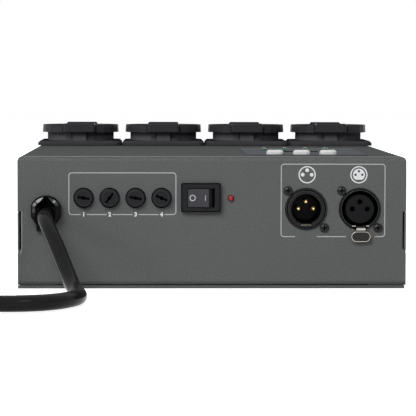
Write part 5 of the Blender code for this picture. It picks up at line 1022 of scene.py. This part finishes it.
def fuse_socket_mesh():
    """A round fuse holder with a stepped rim."""
    top, ridge, rim = FUSE_RIM_PROUD, FUSE_BODY_RADIUS, FUSE_RIM_RADIUS
    profile = [(FUSE_BORE, -FUSE_BORE_DEPTH), (FUSE_BORE, top - 0.0005)]
    profile += [(ridge + out, top - down) for out, down in SOCKET_STEPS]
    profile += [(rim, top - 0.0007), (rim, GAP), (ridge, GAP), (ridge, -FUSE_BODY_LENGTH)]
    mesh = lathe_mesh("holder", profile)
    edge = KNOB_HEAD_RADIUS - NEAR
    # The holder's front faces round the cap are painted black as shade.
    looks = ("fuse_black", "painted_shade_black")
    paint(mesh, looks, lambda spot, normal: int(spot.xy.length > edge and normal.z > FORWARD))
    return mesh


def fuse_cap_mesh():
    """A fuse cap: a ring with a painted highlight near its edge, a slot across it and an eye in its
    middle.
    """
    proud, head, back = KNOB_PROUD, KNOB_HEAD_RADIUS, KNOB_HEAD_BACK
    profile = [(KNOB_RADIUS, proud - KNOB_LENGTH), (KNOB_RADIUS, back), (head, back)]
    profile += [(head - inward, proud - down) for inward, down in CAP_STEPS]
    half, wide = KNOB_SLOT_LENGTH / 2, KNOB_SLOT_WIDTH / 2
    past = proud + CLEAR
    slot = box_mesh("slot", (-half, -wide, proud - KNOB_SLOT_DEPTH), (half, wide, past))
    eye = rod_mesh("eye", KNOB_EYE_RADIUS, proud - KNOB_EYE_DEPTH, past)
    mesh = carved("fuse_cap", lathe_mesh("cap", profile), [slot, eye])

    # The eye is painted black and the slot darker as shade; a ring near the head's edge is painted
    # lighter as a highlight.
    def choose(spot, normal):
        reach = spot.xy.length
        deep = spot.z < proud - NEAR
        if deep and reach < KNOB_EYE_RADIUS + NEAR:
            return 1
        if deep and abs(spot.x) < half + NEAR and abs(spot.y) < wide + NEAR:
            return 3
        return 2 if head - 0.0012 < reach < head - 0.0005 and normal.z > FORWARD else 0

    paint(mesh, ("fuse_cap_black", "painted_shade_black", "fuse_cap_painted_highlight", "fuse_cap_painted_shade"), choose)
    return mesh


def make_fuses():
    """The four fuse holders and their caps, each cap at its own turn."""
    socket, cap = fuse_socket_mesh(), fuse_cap_mesh()
    for i, (x, turn) in enumerate(zip(FUSE_XS, FUSE_TURNS), 1):
        place = at(x, 0, FUSE_HEIGHT)
        placed(f"fuse_socket_{i}", socket.copy(), None, place, "fuse_black", f"fuse_holder_{i}")
        upright = Matrix.Rotation(math.pi / 2, 4, "X")
        facing = (Matrix.Rotation(math.radians(-turn), 4, "Y") @ upright).to_euler()
        knob = f"fuse_knob_{i}"
        placed(f"fuse_cap_{i}", cap.copy(), None, place, "fuse_cap", knob, knob, facing)


def make_bezel():
    """The bezel's face: a raised frame with nearly square corners and a groove inside its edge."""
    proud = BEZEL_PROUD
    rows = [(0.0, GAP), *((inward, proud + above) for inward, above in BEZEL_STEPS)]
    face = stacked_mesh("bezel", rounded_frame(*BEZEL_CORNERS, BEZEL_CORNER), rows)
    half_w, half_h = (size / 2 for size in BEZEL_OPENING)
    mouth = box_mesh("mouth", (-half_w, -half_h, -CLEAR), (half_w, half_h, proud + CLEAR))
    mesh = carved("bezel", face, [mouth], crisp=20.0)
    # The groove's floor is painted black as shade.
    groove = proud + BEZEL_GROOVE
    looks = ("switch_plastic", "painted_shade_black")
    paint(mesh, looks, lambda spot, normal: int(abs(spot.z - groove) < NEAR / 10))
    placed("switch_bezel", mesh, None, at(SWITCH_X, 0, SWITCH_HEIGHT), "switch_black")


def make_rocker_marks():
    """The two marks printed on the rocker's sloping faces."""
    pivot = at(SWITCH_X, ROCKER_PIVOT_DEPTH, SWITCH_HEIGHT)
    tilt = Matrix.Translation(pivot) @ Matrix.Rotation(-ROCKER_TILT, 4, "Z")
    slope = math.atan2(ROCKER_FACE_REACH - ROCKER_CREASE_REACH, ROCKER_FACE_HALF)
    bar = [(0.0, -I_HALF), (0.0, I_HALF)]
    marks = (
        ("mark_off", ring_of((0, 0), O_RADIUS, 48), MARK_STROKE, True, O_ALONG, 1),
        ("mark_on", bar, MARK_STROKE * BAR_SHARE, False, I_ALONG, -1),
    )
    where = {"slot": "rocker_black", "body": "switch_rocker", "facing": FACING_UP}
    for name, points, width, closed, along, side in marks:
        reach = ROCKER_CREASE_REACH + abs(along) * math.tan(slope) + INK_LIFT
        face = Matrix.Translation((along, -reach, 0.0)) @ Matrix.Rotation(side * slope, 4, "Z")
        matrix = tilt @ face @ Matrix.Rotation(math.pi / 2, 4, "X")
        band(name, points, width, "print_pale", (0, 0, 0), closed, matrix, **where)


def dome(proud, length):
    quarter = arc((0, 0), 1.0, 0, 90, 8)
    crown = [(LAMP_RADIUS * x, proud + LAMP_DOME * (y - 1)) for x, y in quarter]
    return lathe_mesh("lamp", [(LAMP_RADIUS, proud - length), *crown], 40)


def make_lamps():
    place = at(POWER_LAMP_X, 0, POWER_LAMP_HEIGHT)
    lamp = dome(POWER_LAMP_PROUD, POWER_LAMP_LENGTH)
    placed("power_lamp", lamp, "lamp_red", place, "led_red", "power_led")
    for i, x in enumerate(CHANNEL_LAMP_XS, 1):
        place = at(x, CHANNEL_LAMP_DEPTH, HEIGHT)
        lamp = dome(CHANNEL_LAMP_PROUD, CHANNEL_LAMP_LENGTH)
        where = {"slot": "led_green", "node": f"channel_led_{i}", "facing": FACING_UP}
        placed(f"channel_lamp_{i}", lamp, "lamp_green", place, **where)


def xlr_ring(name, x, bore, bore_depth, cutters, groove):
    """A connector's round shell with a groove round its rim and a painted highlight line inside the
    groove.
    """
    r, top = XLR_RADIUS, XLR_PROUD
    outer, inner, line = (r - reach for reach in groove)
    crown = (outer + r) / 2
    profile = [
        (bore, -bore_depth),
        (bore, top - 0.0003),
        (bore + 0.0002, top - 0.00005),
        (bore + 0.0003, top),
        (line, top),
        (inner, top - 0.00012),
        (inner + 0.00005, top - GROOVE_DEPTH),
        (outer - 0.00005, top - GROOVE_DEPTH),
        (outer, top - 0.00015),
        (crown, top - 0.00010),
        (r, top - 0.00040),
        (r, -XLR_LENGTH),
    ]
    mesh = carved(name, lathe_mesh(name, profile, 96), cutters)

    # Painted highlights: the line inside the groove and the outer crest are a lighter copy of the
    # coating; the groove and the deep bore are painted black as shade.
    def choose(spot, normal):
        reach = spot.xy.length
        if normal.z > FORWARD and (line < reach < inner or outer < reach < crown):
            return 1
        in_groove = inner < reach < outer and spot.z > top - GROOVE_DEPTH - NEAR
        in_bore = reach < bore + NEAR and spot.z < top - 0.0004
        return 2 if in_groove or in_bore else 0

    paint(mesh, ("xlr_coating", "xlr_painted_highlight", "painted_shade_black"), choose)
    placed(f"{name}_ring", mesh, None, at(x, 0, XLR_HEIGHT), "xlr_black", name)


def make_data_connectors():
    bore, above = XLR_IN_BORE, 2 * CLEAR
    notch = box_mesh("notch", (-0.0007, -bore - 0.0008, -0.006), (0.0007, CLEAR - bore, above))
    notch.transform(Matrix.Rotation(KEY_ANGLE, 4, "Z"))
    recess = box_mesh("recess", (-0.0030, -0.0088, -0.0112), (0.0030, CLEAR - bore, above))
    cutters = [notch, recess]
    xlr_ring("xlr_in_shell", XLR_IN_X, bore, XLR_IN_BORE_DEPTH, cutters, XLR_IN_GROOVE)
    left = LATCH_X - XLR_OUT_X - LATCH_SLOT_WIDTH / 2
    right = left + LATCH_SLOT_WIDTH
    slot = box_mesh("slot", (left, -XLR_RADIUS - CLEAR, -0.0070), (right, -0.0086, above))
    bore = XLR_OUT_BORE
    xlr_ring("xlr_out_shell", XLR_OUT_X, bore, XLR_OUT_BORE_DEPTH, [slot], XLR_OUT_GROOVE)


def make_male_insert():
    """The disc at the bottom of the input connector, its round-nosed pins and shield strip."""
    face = -XLR_DISC_FACE
    back = face - XLR_DISC_THICKNESS
    radius = XLR_IN_BORE - 0.0010
    profile = [(radius, back), (radius, face - 0.0002), (radius - 0.0002, face)]
    low, high = back - CLEAR, face + CLEAR
    holes = [rod_mesh("hole", XLR_PIN_RADIUS + 0.0002, low, high, pole) for pole in XLR_POLES]
    mesh = carved("pin_carrier", lathe_mesh("pin_carrier", profile), holes)
    place = at(XLR_IN_X, 0, XLR_HEIGHT)
    placed("xlr_in_carrier", mesh, "insert_plastic", place, "insert_black", "xlr_in_insert")
    r = XLR_PIN_RADIUS
    length = XLR_PIN_LENGTH + XLR_PIN_ROOT
    nose = XLR_PIN_NOSE * r
    tip = [(r * x, nose * (y - 1)) for x, y in arc((0, 0), 1.0, 0, 90, 10)]
    for i, (x, z) in enumerate(XLR_POLES, 1):
        place = at(XLR_IN_X + x, XLR_DISC_FACE - XLR_PIN_LENGTH, XLR_HEIGHT + z)
        mesh = lathe_mesh("pin", [(r, -length), *tip], 32)
        placed(f"data_pin_{i}", mesh, "contact_gold", place, "contact_gold", f"xlr_in_pin_{i}")
    strip = box_mesh("strip", (-0.0027, -0.0087, -0.0110), (0.0027, -0.0083, 0.0), 0.00010)
    place = at(XLR_IN_X, 0.0003 - XLR_PROUD, XLR_HEIGHT)
    placed("shield_contact", strip, "strip_nickel", place, "latch_nickel")


def make_female_insert():
    """The output connector's insert with its three contact holes."""
    face = -XLR_INSERT_FACE
    r = XLR_INSERT_RADIUS
    back = GAP - XLR_OUT_BORE_DEPTH
    profile = [(r, back), (r, face - 0.0005), (r - 0.0001, face - 0.0002), (r - 0.0003, face)]
    rim = XLR_HOLE_RADIUS
    low, high = face - XLR_HOLE_DEPTH, face + CLEAR
    mouth = [(rim, low), (rim, face - 0.0003)]
    mouth += [(rim + 0.0002, face + 0.00002), (rim + 0.0002, high)]
    holes = [moved(lathe_mesh("hole", mouth, 40), (x, z, 0)) for x, z in XLR_POLES]
    mesh = carved("socket_carrier", lathe_mesh("socket_carrier", profile), holes)
    place = at(XLR_OUT_X, 0, XLR_HEIGHT)
    placed("xlr_out_carrier", mesh, "insert_plastic", place, "insert_black", "xlr_out_insert")


def make_panel_screws():
    """Black pan-head screws with a cross recess."""
    r, shank = PAN_HEAD_RADIUS, SCREW_SHANK
    top = GAP + PAN_HEAD_HEIGHT
    profile = [(shank, -SCREW_LENGTH), (shank, GAP), (r, GAP), (r, GAP + 0.0002)]
    profile += [(wide * r, tall * top) for wide, tall in PAN_HEAD_STEPS]
    arm, half = CROSS_REACH, CROSS_WIDTH / 2
    low, high = top - CROSS_DEPTH, top + CLEAR
    cross = [box_mesh("arm", (-x, -y, low), (x, y, high)) for x, y in ((arm, half), (half, arm))]
    head = carved("panel_screw", lathe_mesh("panel_screw", profile, 48), cross)

    # The cross recess is painted black as shade.
    def choose(spot, normal):
        short, long = sorted((abs(spot.x), abs(spot.y)))
        return int(short < half + NEAR / 10 and long < arm and spot.z < top - NEAR)

    paint(head, ("screw_oxide", "painted_shade_black"), choose)
    number = 0
    for x in (XLR_IN_X, XLR_OUT_X):
        for aside, above in XLR_SCREW_OFFSETS:
            number += 1
            place = at(x + aside, 0, XLR_HEIGHT + above)
            node = f"xlr_screw_{number}"
            placed(f"panel_screw_{number}", head.copy(), None, place, "screw_black", node)


def make_latch():
    """The nickel release lever: an arm in the ring's slot and an oval tab whose dish is painted
    dark as shade.
    """
    back, r = -TAB_THICKNESS, TAB_ROUNDING
    rows = [(0.0, back), *((r - x, y) for x, y in arc((0, -r), r, 0, 90, 3))]
    tab = stacked_mesh("tab", oval(TAB_WIDTH, TAB_HEIGHT), rows)
    bowl = oval(TAB_WIDTH - 2 * TAB_RIM, TAB_HEIGHT - 2 * TAB_RIM)
    dish = stacked_mesh("dish", bowl, [(0.0, -TAB_FIELD_DEPTH), (0.0, CLEAR)])
    mesh = carved("latch", tab, [dish])

    # The dish's faces are painted dark as shade.
    def choose(spot, normal):
        inside = abs(spot.x) < TAB_WIDTH / 2 - TAB_RIM and abs(spot.y) < TAB_HEIGHT / 2 - TAB_RIM
        return int(inside and -0.0003 < spot.z < -NEAR)

    paint(mesh, ("latch_plate", "latch_painted_shade"), choose)
    place = at(LATCH_X, -LATCH_PROUD, TAB_CENTRE)
    lever = {"slot": "latch_nickel", "body": "xlr_out_latch"}
    placed("release_tab", mesh, None, place, node="xlr_out_latch", **lever)
    half, thick = LATCH_ARM_WIDTH / 2, LATCH_ARM_THICKNESS
    bar, arm = LATCH_BAR_HEIGHT - TAB_CENTRE, LATCH_ARM_HEIGHT - TAB_CENTRE
    low, high = bar - thick, bar + thick
    foot, crest = high + 0.0008, high + 0.0013
    # The neck, the arm and the bend are painted dark as shade; the bar and the two wings keep the
    # bright nickel.
    parts = (
        ("neck", "painted_shade", (-half, TAB_HEIGHT / 2, back), (half, low, -0.0003)),
        ("bar", "plate", (-half, low, back), (half, high, -0.0001)),
        ("arm", "painted_shade", (-half, arm - thick, -LATCH_DEPTH), (half, arm, back)),
        ("bend", "painted_shade", (-half, high, back), (half, arm, -0.0004)),
        ("left", "plate", (-0.0047, foot, -0.0016), (-0.0029, crest, -0.0006)),
        ("right", "plate", (0.0029, foot, -0.0016), (0.0044, crest, -0.0006)),
    )
    for name, look, corner, other in parts:
        mesh = box_mesh(name, corner, other, 0.00008)
        placed(f"release_{name}", mesh, f"latch_{look}", place, **lever)


def make_prints():
    """Frames, numerals and the connector symbols printed on the panel."""
    place = at(0, -INK_LIFT, 0)
    reach = NUMERAL_HEIGHT * NUMERAL_ROOM
    broken_frame("fuse_frame", *FUSE_FRAME, [(x - reach, x + reach) for x in FUSE_XS], place)
    for i, x in enumerate(FUSE_XS, 1):
        numeral(f"fuse_numeral_{i}", str(i), x, FUSE_FRAME[0][1], place)
    broken_frame("data_frame", *DATA_FRAME, DATA_BREAKS, place)
    symbol("symbol_in", SYMBOL_IN_X, "pin", SYMBOL_PINS, 0.0010, 24, "print_white", 0.0)
    symbol("symbol_out", SYMBOL_OUT_X, "hole", SYMBOL_HOLES, 0.00062, 20, "print_dark", INK)


def broken_frame(name, low, high, cuts, place):
    """A printed frame whose bottom line leaves gaps."""
    outline = rounded_frame(low, high, FRAME_CORNER)
    band(name, outline, FRAME_STROKE, "print_pale", place)
    edges = [outline[-1][0], *[x for cut in cuts for x in cut], outline[0][0]]
    for i in range(0, len(edges), 2):
        if edges[i + 1] - edges[i] > FRAME_STROKE:
            line = [(edges[i], low[1]), (edges[i + 1], low[1])]
            band(f"{name}_base_{i // 2 + 1}", line, FRAME_STROKE, "print_pale", place)


def numeral(name, text, x, z, place):
    curve = bpy.data.curves.new(name, "FONT")
    curve.body = text
    curve.size = NUMERAL_HEIGHT * NUMERAL_SCALE
    curve.align_x = curve.align_y = "CENTER"
    curve.offset = NUMERAL_WEIGHT
    curve.extrude = INK / 2
    mesh = evaluated(show(bpy.data.objects.new(name, curve)))
    placed(name, mesh, "print_white", place + Vector((x, -INK / 2, z)))


def symbol(name, x, part, spots, radius, steps, look, lift):
    """A printed ring over a connector, with three marks for its poles, lifted on a white face."""
    place = at(x, -INK_LIFT, SYMBOL_HEIGHT)
    ring = ring_of((0, 0), SYMBOL_RADIUS, 48)
    band(f"{name}_ring", ring, SYMBOL_STROKE, "print_white", place, True)
    if lift:
        disc(f"{name}_face", arc((0, 0), 0.0032, -55, 235, 36), "print_white", place)
        place = at(x, -INK_LIFT - lift, SYMBOL_HEIGHT)
    for i, spot in enumerate(spots, 1):
        disc(f"{name}_{part}_{i}", ring_of(spot, radius, steps), look, place)


# Top, outlets and base


def make_outlets():
    """The four outlets; their upward faces are matt and painted darker as shade, so the low view
    finds them dark.
    """
    for node in numbered("outlet", 4):
        dress([node], "outlet_plastic", OUTLET_ROUNDING)
        matrix = NODES[node].matrix_world

        # Painted light: the flange's front is a lighter copy of the plastic, the barrels a much
        # lighter one for their highlights.
        def choose(spot, normal):
            above = (matrix @ spot).z - HEIGHT
            if normal.z > 0.8:
                return 1
            if above <= 0.0 or above >= LID_FOOT:
                return 0
            return 2 if above < FLANGE_TOP else 3

        paint(NODES[node].data, ("outlet_top_painted_shade", "outlet_foot_painted_light", "outlet_barrel_painted_highlight"), choose)


def make_sheets():
    """The coats of cover and tray, the line on the film, and a painted highlight line on the lid's
    bend.
    """
    # the cover's coat gets painted shade that darkens it towards the bottom
    powder_coat("powder_grey", painted_bottom_shade=True)
    powder_coat("powder_base")
    dress(["housing"], "powder_grey", 0.00022, SHEET_CREASE)
    dress(["base_plate"], "powder_base", 0.0002, SHEET_CREASE)
    for name, (left, right), width, look, slot, depth, z, lean in SHEET_LINES:
        line, facing = [(left, 0.0), (right, 0.0)], (lean, 0.0, 0.0)
        band(name, line, width, look, at(0, depth, z), slot=slot, facing=facing)


def make_corner_seals():
    """What the sheets' corners show: black slits painted as shade with a painted highlight beside
    them, the tray's rim.
    """
    here = {"place": at(0, 0, 0), "slot": "base_paint", "facing": FACING_UP}
    inner = HALF_WIDTH - NOTCH_DEPTH
    for side, name, width in SLITS:
        near, far = beside(side, inner, HALF_WIDTH - GAP)
        low, high = NOTCH_TOP - NOTCH_SLOT + GAP / 10, NOTCH_TOP - GAP / 10
        # A black box in each notch, painted shade where the slot shows its inside.
        seal = box_mesh("seal", (near, GAP, low), (far, NOTCH_LENGTH - NOTCH_SLOT, high))
        placed(f"corner_seal_{name}", seal, "painted_shade_black", **here)
        stretches = beside(side, HALF_WIDTH - FILLER_SET, inner), FILLER_DEPTHS, FILLER_HEIGHTS
        filler = box_mesh("filler", *zip(*stretches))
        placed(f"corner_filler_{name}", filler, "powder_grey", **here)
        # A black band painted on the panel as the slit's shade.
        x = side * (HALF_WIDTH - SLIT_SET)
        slit = [(x, NOTCH_FOOT + 0.0012), (x, NOTCH_TOP)]
        place = at(0, -2 * INK, 0)
        band(f"corner_slit_{name}", slit, width, "painted_shade_black", place, slot="base_paint")
    # A lighter line painted as the highlight on the left notch's edge.
    edge = [(inward - HALF_WIDTH, z) for inward, z in EDGE_LINE]
    band("corner_edge", edge, EDGE_WIDTH, "painted_edge_highlight", at(0, -3 * INK, 0), slot="base_paint")
    placed("base_rim", box_mesh("rim", *BASE_RIM), "powder_base", **here)


bpy.context.scene.view_settings.view_transform = "Standard"
make_camera()
lead, lead_exit, lead_length = make_lead()
plug_pieces = make_plug()
tuple(lead_exit)
make_world()
for lamp in LAMPS:
    make_lamp(*lamp)
make_floor()
make_relief()
make_fuses()
make_bezel()
make_rocker_marks()
make_lamps()
make_data_connectors()
make_male_insert()
make_female_insert()
make_panel_screws()
make_latch()
make_prints()
make_outlets()
make_sheets()
for nodes, look, rounding in DRESSED:
    dress(nodes, look, rounding)
make_corner_seals()
